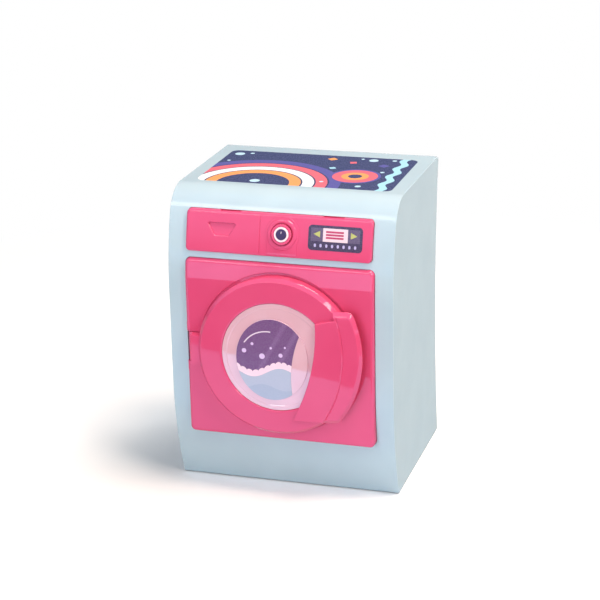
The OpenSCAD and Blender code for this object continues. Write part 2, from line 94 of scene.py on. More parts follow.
def arc(centre: Pair, radius: float, start: float, end: float, steps: int) -> Outline:
    """Points of an arc.

    Args:
        centre: Middle of the arc.
        radius: Its radius.
        start: Angle of the first point, in degrees.
        end: Angle of the last point, in degrees.
        steps: Number of chords.

    Returns:
        The points, both ends included.
    """
    angles = [math.radians(start + (end - start) * i / steps) for i in range(steps + 1)]
    return [(centre[0] + radius * math.cos(a), centre[1] + radius * math.sin(a)) for a in angles]


def round_poly(centres: Outline, radius: float, steps: int = 8) -> Outline:
    """Outline of a convex figure with round corners.

    Args:
        centres: Middles of the corner arcs, anticlockwise.
        radius: Radius of the arcs.
        steps: Chords in each corner.

    Returns:
        The outline, anticlockwise.
    """
    points: Outline = []
    for i, (x, y) in enumerate(centres):
        before, after = centres[i - 1], centres[(i + 1) % len(centres)]
        start = math.degrees(math.atan2(y - before[1], x - before[0])) - 90
        end = math.degrees(math.atan2(after[1] - y, after[0] - x)) - 90
        points += arc((x, y), radius, start, start + (end - start) % 360, steps)
    return points


def rounded_box(width: float, height: float, corner: float, centre: Pair = (0.0, 0.0),
                steps: int = 8) -> Outline:
    """Outline of a rectangle of a width and height round a centre, with round corners."""
    u, v = width / 2 - corner, height / 2 - corner
    corners = [(centre[0] + sx * u, centre[1] + sy * v) for sx, sy in ((1, 1), (-1, 1), (-1, -1), (1, -1))]
    return round_poly(corners, corner, steps)


def facing_front(x: float, z: float) -> Matrix:
    """A frame that looks out of the front from a place."""
    return Matrix.Translation((x, 0, z)) @ FACING_FRONT


def out_from(axis: Matrix, radius: float, degrees: float) -> Matrix:
    """An axis moved out by a radius, at an angle round itself."""
    angle = math.radians(degrees)
    return axis @ Matrix.Translation((radius * math.cos(angle), radius * math.sin(angle), 0))


def placed(bm: Shape, matrix: Matrix) -> Shape:
    """The shape, moved by a matrix."""
    bmesh.ops.transform(bm, matrix=matrix, verts=bm.verts)
    return bm


def raise_faces(bm: Shape, height: float) -> None:
    """Pulls a flat shape up its own z into a solid."""
    lifted = bmesh.ops.extrude_face_region(bm, geom=bm.faces[:])["geom"]
    tips = [v for v in lifted if isinstance(v, bmesh.types.BMVert)]
    bmesh.ops.translate(bm, verts=tips, vec=(0, 0, height))
    bmesh.ops.recalc_face_normals(bm, faces=bm.faces)


def pulled(outline: Outline, start: float, end: float, seat: Matrix = FACING_FRONT) -> Shape:
    """Pulls an outline into a solid.

    Args:
        outline: Closed outline in the seat's own x and y.
        start: Local z of the back face.
        end: Local z of the front face.
        seat: Places the solid in the cabinet's coordinates.

    Returns:
        The solid.
    """
    bm = bmesh.new()
    bm.faces.new([bm.verts.new((u, v, start)) for u, v in outline])
    raise_faces(bm, end - start)
    return placed(bm, seat)


def lofted(rings: list[list[Triple]], seat: Matrix) -> Shape:
    """A solid through rings of points, each with as many as the next, closed at both ends."""
    bm = bmesh.new()
    loops = []
    for ring in rings:
        points = [bm.verts.new(point) for point in ring]
        loops.append([bm.edges.new(pair) for pair in zip(points, points[1:] + points[:1])])
    for low, high in zip(loops, loops[1:]):
        bmesh.ops.bridge_loops(bm, edges=low + high)
    bmesh.ops.edgeloop_fill(bm, edges=loops[0])
    bmesh.ops.edgeloop_fill(bm, edges=loops[-1])
    bmesh.ops.recalc_face_normals(bm, faces=bm.faces)
    return placed(bm, seat)


def turned(profile: Outline, seat: Matrix, steps: int = 96, closed: bool = False) -> Shape:
    """Spins a profile round its seat's z axis.

    Args:
        profile: Points of [radius, height].  An open profile starts and ends on the axis.
        seat: Places the solid in the cabinet's coordinates.
        steps: Facets in a full turn.
        closed: Whether the last point is joined to the first, as in a ring.

    Returns:
        The solid.
    """
    bm = bmesh.new()
    points = [bm.verts.new((r, 0, h)) for r, h in profile]
    pairs = list(zip(points, points[1:])) + ([(points[-1], points[0])] if closed else [])
    edges = [bm.edges.new(pair) for pair in pairs]
    bmesh.ops.spin(bm, geom=points + edges, cent=(0, 0, 0), axis=(0, 0, 1), angle=math.tau,
                   steps=steps, use_merge=True)
    bmesh.ops.remove_doubles(bm, verts=bm.verts, dist=NEAR)
    bmesh.ops.recalc_face_normals(bm, faces=bm.faces)
    return placed(bm, seat)


def rightmost(start: Vector, way: Vector, centre: Vector, radius: float) -> Vector:
    """Where a line through start, going way, last meets a circle."""
    across = way.dot(start - centre)
    return start + way * (math.sqrt(across ** 2 - (start - centre).length_squared + radius ** 2) - across)


@dataclass(frozen=True)
class Shoulder:
    """A sloped shoulder between an upright side and a level face.

    Attributes:
        wide: How far in from the side it meets the face.
        deep: How far under the face it leaves the side.
        low_r: Radius of its bend at the side.
        high_r: Radius of its bend at the face.
    """

    wide: float
    deep: float
    low_r: float
    high_r: float

    def section(self, steps: int = 5) -> Outline:
        """Its section, with a number of chords in each bend.

        Args:
            steps: Chords in each bend.

        Returns:
            Points of [distance in from the side, depth under the face], from the side to the face.
        """
        low, high = (self.low_r, -self.deep), (self.wide - self.high_r, -self.high_r)
        span = math.dist(low, high)
        slope = math.atan2(high[1] - low[1], high[0] - low[0]) - math.asin((self.low_r - self.high_r) / span)
        square = 90 + math.degrees(slope)
        points = arc(low, self.low_r, 180, square, steps) + arc(high, self.high_r, square, 90, steps)
        return [(x, -y) for x, y in points]


def bar(radius: float, start: float, end: float, seat: Matrix, edge: float = 0.0,
        steps: int = 32) -> Shape:
    """A round bar along its seat's z axis, its top edge rounded by edge if that isn't 0."""
    top = arc((radius - edge, end - edge), edge, 0, 90, 4) if edge else [(radius, end)]
    return turned([(0, start), (radius, start), *top, (0, end)], seat, steps)


def block(size: Triple, centre: Triple) -> Shape:
    """A square block of a size round a centre."""
    bm = bmesh.new()
    bmesh.ops.create_cube(bm, size=1.0, matrix=Matrix.Translation(centre) @ Matrix.Diagonal((*size, 1)))
    return bm


def edges_where(bm: Shape, test: Callable[[Vector], bool]) -> list[bmesh.types.BMEdge]:
    """Edges whose two ends both pass a test of their place."""
    return [e for e in bm.edges if all(test(v.co) for v in e.verts)]


def round_edges(bm: Shape, edges: list[bmesh.types.BMEdge], radius: float, steps: int = 4) -> None:
    """Rounds edges of a shape.

    Args:
        bm: The shape.
        edges: The edges to round.
        radius: Radius of the rounding.
        steps: Facets across it.
    """
    bmesh.ops.bevel(bm, geom=edges, offset=radius, offset_type="OFFSET", segments=steps, profile=0.5,
                    affect="EDGES", material=-1, clamp_overlap=True, loop_slide=True)


def soften(bm: Shape, radius: float, test: Callable[[Vector], bool] = lambda place: True) -> None:
    """Breaks the sharp edges of a shape, as a mould does.

    Args:
        bm: The shape.
        radius: Width of the rounding.
        test: Which places may be softened.
    """
    sharp = [e for e in edges_where(bm, test) if e.is_manifold and e.calc_face_angle(0.0) > SHARP]
    round_edges(bm, sharp, radius, 2)


def loose_object(name: str, bm: Shape) -> bpy.types.Object:
    """Turns a shape into a linked object, and frees the shape."""
    mesh = bpy.data.meshes.new(name)
    bm.to_mesh(mesh)
    bm.free()
    obj = bpy.data.objects.new(name, mesh)
    bpy.context.scene.collection.objects.link(obj)
    return obj


def carve(blank: Shape, tools: list[Shape], way: Carve) -> Shape:
    """Works a shape with others.

    Args:
        blank: The shape that is worked.
        tools: What is cut out of it or joined to it, one after the other.
        way: How they are worked.

    Returns:
        The worked shape.  The ones handed in are used up.
    """
    host = loose_object("blank", blank)
    helpers = [loose_object("tool", tool) for tool in tools]
    for helper in helpers:
        step = host.modifiers.new("carve", "BOOLEAN")
        step.operation = way.value
        step.solver = "EXACT"
        step.object = helper
    worked = bmesh.new()
    worked.from_mesh(host.evaluated_get(bpy.context.evaluated_depsgraph_get()).data)
    for obj in (host, *helpers):
        mesh = obj.data
        bpy.data.objects.remove(obj)
        bpy.data.meshes.remove(mesh)
    bmesh.ops.remove_doubles(worked, verts=worked.verts, dist=NEAR)
    bmesh.ops.dissolve_degenerate(worked, dist=NEAR, edges=worked.edges)
    return worked


def gathered(shapes: list[Shape]) -> Shape:
    """Puts several shapes into one, side by side."""
    whole = bmesh.new()
    for shape in shapes:
        mesh = bpy.data.meshes.new("part")
        shape.to_mesh(mesh)
        shape.free()
        whole.from_mesh(mesh)
        bpy.data.meshes.remove(mesh)
    return whole


@dataclass(frozen=True)
class SideLine:
    """The cabinet's outline seen from the side, in [y, z].

    The front tucks in towards the base, stands straight at the belly, leans back above it and turns
    into the flat top over the brow.  The back edge is hollow.
    """

    belly: float = 70.3
    height: float = 200.0
    lower_r: float = 204.0
    lower_z: float = 75.0
    upper_r: float = 166.0
    upper_z: float = 135.0
    brow_r: float = 22.0
    back_mid: float = 48.6
    back_r: float = 645.0
    back_z: float = 100.0
    back_corner: float = 3.0

    def front_y(self, z: float, out: float = 0.0) -> float:
        """Y of the front at a height, below the brow, moved out square to the surface by out."""
        if z < self.lower_z:
            radius, middle = self.lower_r, self.lower_z
        elif z > self.upper_z:
            radius, middle = self.upper_r, self.upper_z
        else:
            return -self.belly - out
        return radius - self.belly - math.sqrt((radius + out) ** 2 - (z - middle) ** 2)

    def back_y(self, z: float) -> float:
        """Y of the back edge at a height."""
        return self.back_mid + self.back_r - math.sqrt(self.back_r ** 2 - (z - self.back_z) ** 2)

    def front(self, out: float = 0.0) -> Outline:
        """The front from the bottom rim to the top, moved out by out."""
        lower = (self.lower_r - self.belly, self.lower_z)
        upper = (self.upper_r - self.belly, self.upper_z)
        brow_z = self.height - self.brow_r
        rise = brow_z - self.upper_z
        brow_y = upper[0] - math.sqrt((self.upper_r - self.brow_r) ** 2 - rise ** 2)
        lean = math.degrees(math.atan2(rise, upper[0] - brow_y))
        tuck = math.degrees(math.asin(self.lower_z / (self.lower_r + out)))
        return [*arc(lower, self.lower_r + out, 180 + tuck, 180, 20),
                *arc(upper, self.upper_r + out, 180, 180 - lean, 16),
                *arc((brow_y, brow_z), self.brow_r + out, 180 - lean - 3, 90, 18)]

    def whole(self) -> Outline:
        """The whole outline, its back edge hollow."""
        end = self.back_y(0)
        corner = arc((end - self.back_corner, self.height - self.back_corner), self.back_corner, 90, 0, 6)
        steps = 24
        top = self.height - self.back_corner
        back = [(self.back_y(z), z) for z in (top * (1 - i / steps) for i in range(1, steps + 1))]
        return self.front() + corner + back

    def inside(self, wall: float) -> Outline:
        """What is hollow behind the wall, open at the back and below."""
        front = self.front(-wall)
        return [(front[0][0], -10.0), *front, (80.0, self.height - wall), (80.0, -10.0)]


LINE = SideLine()
STRIP = 1.6                    # height of the strips that a plate on the curved front bends in


def on_skin(outline: Outline, out: float, thick: float, edge: float = 0.0, steps: int = 3) -> Shape:
    """A plate that lies on the cabinet's curved front.

    Args:
        outline: Its outline seen from the front, in [x, z].
        out: How far its face stands out of the cabinet's front.
        thick: Its thickness.
        edge: Rounding of the edge of its face.
        steps: Facets across the rounding.

    Returns:
        The plate.
    """
    bm = pulled(outline, -thick, 0.0)
    if edge:
        round_edges(bm, edges_where(bm, lambda p: abs(p.y) < NEAR), edge, steps)
    low = min(z for _, z in outline)
    high = max(z for _, z in outline)
    count = max(2, round((high - low) / STRIP))
    for i in range(1, count):
        whole = [*bm.verts, *bm.edges, *bm.faces]
        height = low + (high - low) * i / count
        bmesh.ops.bisect_plane(bm, geom=whole, plane_co=(0, 0, height), plane_no=(0, 0, 1), dist=NEAR)
    for vert in bm.verts:
        vert.co.y += LINE.front_y(vert.co.z, out)
    return bm


HOME = Vector((0.0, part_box("cabinet_shell")[0].y / MM + LINE.belly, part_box("cabinet_shell")[0].z / MM))


@dataclass(frozen=True)
class Finish:
    """A material, and the material slot of the record that it belongs to."""

    material: bpy.types.Material
    slot: str


def set_down(bm: Shape, name: str, finish: Finish, body: Body, *stands_for: str) -> None:
    """Makes a finished piece from a worked shape.

    Args:
        bm: The shape, in millimetres in the cabinet's coordinates.
        name: Name of the piece.
        finish: Its finish.
        body: The body it rides on.
        *stands_for: Construction nodes that it replaces.
    """
    obj = loose_object(name, placed(bm, Matrix.Scale(MM, 4) @ Matrix.Translation(HOME)))
    obj.data.materials.append(finish.material)
    obj.data.shade_smooth()
    obj.data.set_sharp_from_angle(angle=CRISP)
    even = obj.modifiers.new("even shading", "WEIGHTED_NORMAL")
    even.keep_sharp = True
    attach(obj, body.value)
    if stands_for:
        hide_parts(*stands_for)
    log.info("%s: %d faces on %s", name, len(obj.data.polygons), body.value)


# ---------------------------------------------------------------- finishes

def linear(colour: str) -> Colour:
    """Turns an sRGB hex colour into linear RGBA."""
    parts = [int(colour[i:i + 2], 16) / 255 for i in (1, 3, 5)]
    return (*(c / 12.92 if c <= 0.04045 else ((c + 0.055) / 1.055) ** 2.4 for c in parts), 1.0)


def per_mm(size: float) -> float:
    """Texture scale, in object coordinates, of a pattern whose repeat is size millimetres."""
    return 1.0 / (size * MM)


def add_node(tree: bpy.types.NodeTree, kind: str, inputs: dict | None = None, **settings) -> bpy.types.Node:
    """Adds a node to a tree.

    Args:
        tree: The node tree.
        kind: The node's type, without its ShaderNode prefix.
        inputs: Values or sockets for its inputs, by name or number.
        **settings: The node's own properties.

    Returns:
        The node.
    """
    node = tree.nodes.new("ShaderNode" + kind)
    for key, value in settings.items():
        setattr(node, key, value)
    for key, value in (inputs or {}).items():
        if isinstance(value, Socket):
            tree.links.new(value, node.inputs[key])
        else:
            node.inputs[key].default_value = value
    return node


class Recipe:
    """A material under construction: its tree, its shader and the object's own coordinates."""

    def __init__(self, name: str) -> None:
        """Starts a material with one Principled shader."""
        self.material = bpy.data.materials.new(name)
        self.material.use_nodes = True
        self.tree = self.material.node_tree
        self.tree.nodes.clear()
        self.shader = self.add("BsdfPrincipled")
        self.out = self.add("OutputMaterial", {"Surface": self.shader.outputs[0]})
        self.place = self.add("TexCoord").outputs["Object"]

    def add(self, kind: str, inputs: dict | None = None, **settings) -> bpy.types.Node:
        """Adds a node to this material."""
        return add_node(self.tree, kind, inputs, **settings)

    def math(self, operation: str, *values: float | Socket) -> Socket:
        """Output of a maths node."""
        return self.add("Math", dict(enumerate(values)), operation=operation).outputs[0]

    def noise(self, size: float, detail: float, stretch: Triple = (1, 1, 1)) -> Socket:
        """Noise whose blotches are about size millimetres across."""
        place = self.add("Mapping", {"Vector": self.place, "Scale": stretch}).outputs[0]
        return self.add("TexNoise", {"Vector": place, "Scale": per_mm(size), "Detail": detail}).outputs[0]

    def spread(self, value: Socket, low: float, high: float, start: float = 0.35,
               end: float = 0.65) -> Socket:
        """Maps a value that runs from start to end onto low to high."""
        inputs = {"Value": value, "From Min": start, "From Max": end, "To Min": low, "To Max": high}
        return self.add("MapRange", inputs).outputs[0]

    def blend(self, factor: float | Socket, first: Socket | tuple, second: Socket | tuple) -> Socket:
        """Mixes two colours."""
        return self.add("Mix", {0: factor, 6: first, 7: second}, data_type="RGBA").outputs[2]

    def relief(self, height: Socket, depth: float, under: Socket | None = None) -> Socket:
        """Bump of a height that runs from 0 to 1 over depth millimetres, on top of another bump."""
        inputs = {"Height": height, "Distance": depth * MM, "Strength": 1.0}
        if under is not None:
            inputs["Normal"] = under
        return self.add("Bump", inputs).outputs[0]

    def set(self, **values: object) -> None:
        """Sets shader inputs by name, with _ for a space, to a value or a socket."""
        for key, value in values.items():
            socket = self.shader.inputs[key.replace("_", " ")]
            if isinstance(value, Socket):
                self.tree.links.new(value, socket)
            else:
                socket.default_value = value


@dataclass(frozen=True)
class MouldedPlastic:
    """Injection-moulded ABS or polystyrene.

    A polished mould leaves a glossy skin that is never quite flat: it has a slow sink of a few
    hundredths of a millimetre, a faint orange peel, flow marks in its colour and hairline scuffs.

    Attributes:
        name: Name of the finish.
        colour: Colour of the skin.
        shade: Colour of its deeper flow marks.
        roughness: Roughness of the clean skin.
        sink: Height of the slow waves, in mm.
        peel: Height of the orange peel, in mm.
        glow: Share of the light that goes into the plastic and comes out beside.
    """

    name: str
    colour: str
    shade: str
    roughness: float = 0.08
    sink: float = 0.012
    peel: float = 0.0003
    glow: float = 0.0

    def material(self) -> bpy.types.Material:
        """Builds the material."""
        mix = Recipe(self.name)
        flow = mix.spread(mix.noise(38, 2), 0, 1)
        mix.set(Base_Color=mix.blend(flow, linear(self.colour), linear(self.shade)))
        scuffs = mix.spread(mix.noise(1.1, 3, (1, 0.06, 0.35)), 0, 0.05, 0.66, 0.8)
        smudge = mix.spread(mix.noise(13, 3), 0, 0.035, 0.45, 0.7)
        mix.set(Roughness=mix.math("ADD", mix.math("ADD", scuffs, smudge), self.roughness), IOR=1.5)
        waves = mix.relief(mix.noise(34, 1), self.sink)
        mix.set(Normal=mix.relief(mix.noise(1.4, 1), self.peel, waves))
        if self.glow:
            mix.set(Subsurface_Weight=self.glow, Subsurface_Radius=(1.0, 0.6, 0.5), Subsurface_Scale=1.5 * MM)
        return mix.material


@dataclass(frozen=True)
class Metal:
    """Zinc-plated or spring steel: fine turning or rolling marks under a thin plating.

    Attributes:
        name: Name of the finish.
        colour: Colour of the bare metal.
        roughness: Roughness across the marks.
    """

    name: str
    colour: str
    roughness: float

    def material(self) -> bpy.types.Material:
        """Builds the material."""
        mix = Recipe(self.name)
        marks = mix.noise(0.25, 2, (1, 0.2, 1))
        blotch = mix.spread(mix.noise(2.0, 3), 0, 0.5)
        mix.set(Metallic=1.0, Base_Color=mix.blend(blotch, linear(self.colour), linear("#7d8084")))
        mix.set(Roughness=mix.spread(marks, self.roughness - 0.06, self.roughness + 0.1))
        mix.set(Normal=mix.relief(marks, 0.004))
        return mix.material


@dataclass(frozen=True)
class SoftPad:
    """Thermoplastic rubber of the feet: matt, faintly grained, and scuffed where it stands.

    Attributes:
        name: Name of the finish.
        colour: Colour of the rubber.
    """

    name: str
    colour: str

    def material(self) -> bpy.types.Material:
        """Builds the material."""
        mix = Recipe(self.name)
        grain = mix.noise(0.35, 3)
        dust = mix.spread(mix.noise(4, 3), 0, 0.6)
        mix.set(Base_Color=mix.blend(dust, linear(self.colour), linear("#b9bdbf")))
        mix.set(Roughness=mix.spread(grain, 0.62, 0.78), Normal=mix.relief(grain, 0.02))
        return mix.material


class Print(Recipe):
    """A printed label: flat inks on film under a thin gloss laminate.

    Inks are laid over each other.  Their shapes are drawn in the label's own millimetres, u to the
    right and v up.
    """

    def __init__(self, name: str, ground: str, origin: Triple, up: str) -> None:
        """Starts a label.

        Args:
            name: Name of the finish.
            ground: Colour of the ground.
            origin: Middle of the drawing, in mm in the cabinet's coordinates.
            up: Which axis of the cabinet the label's v follows, Y or Z.
        """
        super().__init__(name)
        shift = [-(a + b) for a, b in zip(origin, HOME)]
        local = self.add("VectorMath", {0: self.place, 1: (1 / MM,) * 3, 2: shift}, operation="MULTIPLY_ADD")
        parts = self.add("SeparateXYZ", {0: local.outputs[0]})
        self.u = parts.outputs["X"]
        self.v = parts.outputs[up]
        self.point = self.add("CombineXYZ", {"X": self.u, "Y": self.v}).outputs[0]
        self.ink = self.add("RGB").outputs[0]
        self.ink.default_value = linear(ground)

    def lay(self, mask: Socket, colour: str, strength: float = 1.0) -> None:
        """Lays an ink over what is there, where mask is 1."""
        cover = self.math("MULTIPLY", mask, strength) if strength < 1 else mask
        self.ink = self.blend(cover, self.ink, linear(colour))

    def below(self, value: Socket, limit: float | Socket) -> Socket:
        """Mask of where a value is below a limit."""
        return self.math("LESS_THAN", value, limit)

    def both(self, *masks: Socket) -> Socket:
        """Mask of where all the masks hold."""
        whole = masks[0]
        for mask in masks[1:]:
            whole = self.math("MULTIPLY", whole, mask)
        return whole

    def reach(self, u: float, v: float) -> Socket:
        """Distance from a point."""
        return self.add("VectorMath", {0: self.point, 1: (u, v, 0)}, operation="DISTANCE").outputs["Value"]

    def disc(self, u: float, v: float, radius: float) -> Socket:
        """Mask of a disc."""
        return self.below(self.reach(u, v), radius)

    def ring(self, u: float, v: float, inner: float, outer: float) -> Socket:
        """Mask of a ring."""
        away = self.math("ABSOLUTE", self.math("SUBTRACT", self.reach(u, v), (inner + outer) / 2))
        return self.below(away, (outer - inner) / 2)

    def bar(self, u: float, v: float, half_u: float, half_v: float, round_by: float = 0.2,
            turn: float = 0.0) -> Socket:
        """Mask of a bar with round corners, turned by some degrees."""
        about = self.add("VectorMath", {0: self.point, 1: (u, v, 0)}, operation="SUBTRACT").outputs[0]
        if turn:
            about = self.add("VectorRotate", {"Vector": about, "Angle": -math.radians(turn)},
                             rotation_type="Z_AXIS").outputs[0]
        size = self.add("VectorMath", {0: about}, operation="ABSOLUTE").outputs[0]
        inside = (half_u - round_by, half_v - round_by, 0)
        past = self.add("VectorMath", {0: size, 1: inside}, operation="SUBTRACT").outputs[0]
        past = self.add("VectorMath", {0: past, 1: (0, 0, 0)}, operation="MAXIMUM").outputs[0]
        far = self.add("VectorMath", {0: past}, operation="LENGTH").outputs["Value"]
        return self.below(far, round_by)

    def arrow(self, tip: float, base: float, v: float, half: float) -> Socket:
        """Mask of a triangle that points along u from its base to its tip."""
        share = self.math("DIVIDE", self.math("SUBTRACT", self.u, tip), base - tip)
        away = self.math("ABSOLUTE", self.math("SUBTRACT", self.v, v))
        return self.both(self.below(away, self.math("MULTIPLY", share, half)), self.below(share, 1.0))

    def wave(self, along: Socket, height: float, swing: float, length: float, shift: float = 0.0) -> Socket:
        """Height of a sine wave along a direction."""
        angle = self.math("MULTIPLY_ADD", along, math.tau / length, math.tau * shift)
        return self.math("MULTIPLY_ADD", self.math("SINE", angle), swing, height)

    def scallops(self, along: Socket, swing: float, length: float) -> Socket:
        """Height of a row of round scallops along a direction."""
        angle = self.math("MULTIPLY", along, math.pi / length)
        bow = self.math("SQRT", self.math("ABSOLUTE", self.math("SINE", angle)))
        return self.math("MULTIPLY", bow, swing)

    def finished(self, gloss: float, slot: str) -> Finish:
        """Puts the laminate over the inks, with its slight unevenness and print grain.

        Args:
            gloss: Roughness of the laminate where it is smoothest.
            slot: The label's material slot in the record.

        Returns:
            The label's finish.
        """
        grain = self.spread(self.noise(0.5, 2), 0.0, 0.05)
        self.set(Base_Color=self.blend(grain, self.ink, linear("#ffffff")))
        self.set(Roughness=self.spread(self.noise(5, 2), gloss, gloss + 0.05), IOR=1.5)
        self.set(Normal=self.relief(self.noise(9, 1), 0.004))
        return Finish(self.material, slot)


class Inks:
    """The drawings on the three labels, all of plain figures, and a painted reflection laid on the window's
    label.
    """

    NAVY = "#3b3f6b"
    VIOLET = "#5b55a0"
    CORAL = "#ec6a78"
    WHITE = "#fdfdfd"
    ORANGE = "#f4a35a"
    SKY = "#a9def0"
    DOT = "#c3e6f6"

    @staticmethod
    def display(origin: Triple) -> Finish:
        """The control panel: a screen with three bars between two arrows, over a row of lights."""
        art = Print("display film", "#3d2a4d", origin, "Z")
        for side in (-1, 1):
            art.lay(art.bar(side * 11.8, 2.0, 4.2, 4.1), "#5d4a6a")
            art.lay(art.arrow(side * 14.3, side * 10.0, 2.3, 2.0), "#b9b861")
        art.lay(art.bar(0.0, 2.0, 8.1, 4.1), "#e9ccd7")
        for row in range(3):
            art.lay(art.bar(-0.4, 3.9 - 1.8 * row, 5.8, 0.6, 0.15), "#b8325e")
        for i in range(8):
            art.lay(art.bar(-13.1 + 3.75 * i, -4.7, 0.72, 1.05, 0.7), "#b9abd8")
        return art.finished(0.1, "display_label_print")

    @classmethod
    def top(cls, origin: Triple) -> Finish:
        """The top: a rainbow, a target, lozenges and a wavy border."""
        art = Print("top film", cls.NAVY, origin, "Y")
        border = art.wave(art.v, 57.5, 1.6, 19.5)
        away = art.math("ABSOLUTE", art.math("SUBTRACT", art.u, border))
        art.lay(art.below(away, 2.6), cls.SKY)
        for i, colour in enumerate((cls.VIOLET, cls.CORAL, cls.WHITE, cls.ORANGE)):
            art.lay(art.ring(-27.0, -39.0, 50.0 - 8.6 * i, 57.5 - 8.6 * i), colour)
        for radius, colour in ((17.0, cls.VIOLET), (15.0, cls.CORAL), (9.0, cls.ORANGE), (4.6, cls.NAVY)):
            art.lay(art.disc(34.0, -9.0, radius), colour)
        for u, v, half, turn, colour in ((8, 30, 2.6, 45, cls.ORANGE), (24, 24, 2.2, 20, cls.CORAL),
                                         (46, 20, 2.8, 60, cls.VIOLET), (14, 8, 2.0, 30, cls.SKY)):
            art.lay(art.bar(u, v, half, half, 0.5, turn), colour)
        for u, v, radius in ((-58, 30, 3.4), (-50, 33, 1.5), (-60, 12, 1.2), (36, 32, 3.2), (28, 34, 1.2),
                             (49, 4, 1.5), (42, -32, 2.0), (16, -26, 1.4), (50, 34, 1.6), (-27, -33, 3.4)):
            art.lay(art.disc(u, v, radius), cls.DOT)
        return art.finished(0.07, "top_label_print")

    @staticmethod
    def lens(origin: Triple) -> Finish:
        """The window: a plain swell of water with a scalloped crest under a few bubbles, and two lighter
        diagonal bands that are a painted reflection.
        """
        art = Print("window film", "#74497c", origin, "Z")
        # Two lighter diagonal bands over the ground: a painted reflection of a window in the lens, laid as an
        # ink.
        painted_reflection_slant = art.math("MULTIPLY_ADD", art.v, -0.55, art.u)
        for middle in (-6.0, 4.5):
            away = art.math("ABSOLUTE", art.math("SUBTRACT", painted_reflection_slant, middle))
            art.lay(art.spread(away, 1, 0, 0.6, 2.6), "#8c6494", 0.5)
        swell = art.wave(art.u, -10.5, 3.4, 38.0, 0.16)
        crest = art.math("ADD", art.math("ADD", swell, 3.2), art.scallops(art.u, 1.5, 3.9))
        art.lay(art.below(art.v, crest), "#f7d3e3")
        art.lay(art.below(art.v, swell), "#b3b9cf")
        art.lay(art.below(art.v, art.wave(art.u, -20.5, 1.8, 30.0, 0.55)), "#a8b1ca")
        for u, v, radius in ((-21.0, 3.5, 1.5), (-15.5, 8.5, 1.0), (-9.0, 0.5, 1.9), (-3.0, 6.5, 0.8),
                             (3.5, 2.0, 1.4), (6.5, 7.5, 0.7)):
            art.lay(art.disc(u, v, radius), "#dcbce6")
        shine = art.both(art.ring(-5.0, -1.5, 18.6, 19.4), art.math("GREATER_THAN", art.v, 9.0),
                         art.math("LESS_THAN", art.u, -3.0))
        art.lay(shine, "#f2dcea", 0.85)
        return art.finished(0.2, "lens_label_print")


@dataclass(frozen=True)
class MilkyLens:
    """Vacuum-clear polystyrene tinted pale pink: glossy, and cloudy enough to hide what is behind."""

    name: str = "tinted polystyrene"
    colour: str = "#e9bac5"

    def material(self) -> bpy.types.Material:
        """Builds the material."""
        mix = Recipe(self.name)
        flow = mix.spread(mix.noise(18, 1), 0, 1)
        mix.set(Base_Color=mix.blend(flow, linear(self.colour), linear("#e6b5c0")))
        mix.set(Roughness=mix.spread(mix.noise(7, 2), 0.03, 0.06), IOR=1.59)
        mix.set(Subsurface_Weight=0.35, Subsurface_Radius=(1.0, 0.7, 0.7), Subsurface_Scale=2.0 * MM)
        mix.set(Coat_Weight=1.0, Coat_Roughness=0.02, Coat_IOR=1.7)
        mix.set(Normal=mix.relief(mix.noise(22, 1), 0.006))
        return mix.material


class Finishes:
    """All the finishes of the toy, built once."""

    def __init__(self) -> None:
        """Builds the plastics, metals and rubber."""
        blue = MouldedPlastic("pale blue ABS", "#b8ccd5", "#b4c8d2", 0.16, 0.02, 0.0006, 0.1)
        pink = MouldedPlastic("hot pink ABS", "#de507a", "#db4b76", 0.035, 0.01, 0.0002, 0.08)
        white = MouldedPlastic("white polystyrene", "#f3f5f5", "#eff2f3", 0.2, 0.02, 0.0006)
        drum = MouldedPlastic("drum polypropylene", "#e9edef", "#e4e9ec", 0.28, 0.02, 0.001)
        collar = MouldedPlastic("collar ABS", "#fbe6ec", "#f8e0e7", 0.12, 0.004)
        cap = MouldedPlastic("cap ABS", "#463259", "#412d53", 0.12, 0.004)
        self.cabinet = Finish(blue.material(), "cabinet_plastic")
        self.pink = Finish(pink.material(), "pink_plastic")
        self.white = Finish(white.material(), "white_plastic")
        self.drum = Finish(drum.material(), "drum_plastic")
        self.collar = Finish(collar.material(), "collar_plastic")
        self.cap = Finish(cap.material(), "cap_plastic")
        self.bush = MouldedPlastic("acetal", "#d9b565", "#d3ae5c", 0.35, 0.004, 0.001).material()
        self.pad = Finish(SoftPad("foot rubber", "#dfe4e6").material(), "foot_rubber")
        self.screw = Finish(Metal("zinc-plated steel", "#b7babd", 0.32).material(), "screw_steel")
        self.spring = Metal("spring steel", "#a9adb2", 0.26).material()
        self.lens = Finish(MilkyLens().material(), "lens_plastic")


# ---------------------------------------------------------------- fasteners

@dataclass(frozen=True)
class Screw:
    """A pan-head self-tapping screw with a cross recess, and the holes that it passes."""

    shank: float = 1.2
    tip: float = 0.2
    taper: float = 1.6
    head: float = 2.6
    rise: float = 1.2
    crown: float = 0.7
    slot: float = 0.8
    reach: float = 3.4
    hole: float = 1.6
    sink: float = 3.0

    def made(self, length: float, seat: Matrix) -> Shape:
        """One screw, its head's seat at the seat's origin and its head up."""
        dome = arc((self.head - self.crown, self.rise - self.crown), self.crown, 0, 90, 4)
        profile = [(0, -length), (self.tip, -length), (self.shank, -length + self.taper), (self.shank, 0),
                   (self.head, 0), *dome, (0, self.rise)]
        cross = [block((*sides, self.rise), (0, 0, self.rise))
                 for sides in ((self.reach, self.slot), (self.slot, self.reach))]
        return placed(carve(turned(profile, ALONG_Z, 40), cross, Carve.CUT), seat)


SCREW = Screw()
THROUGH = (40.0, 90.0)         # how far before the cabinet's middle a cut through its front starts and ends
FRONT_HALF = 40.0              # Y that parts the front of the shell from the rims of its back


def facing_back(x: float, y: float, z: float) -> Matrix:
    """Seat of a screw whose head looks to the back."""
    return Matrix.Translation((x, y, z)) @ Matrix.Rotation(math.radians(-90), 4, "X")


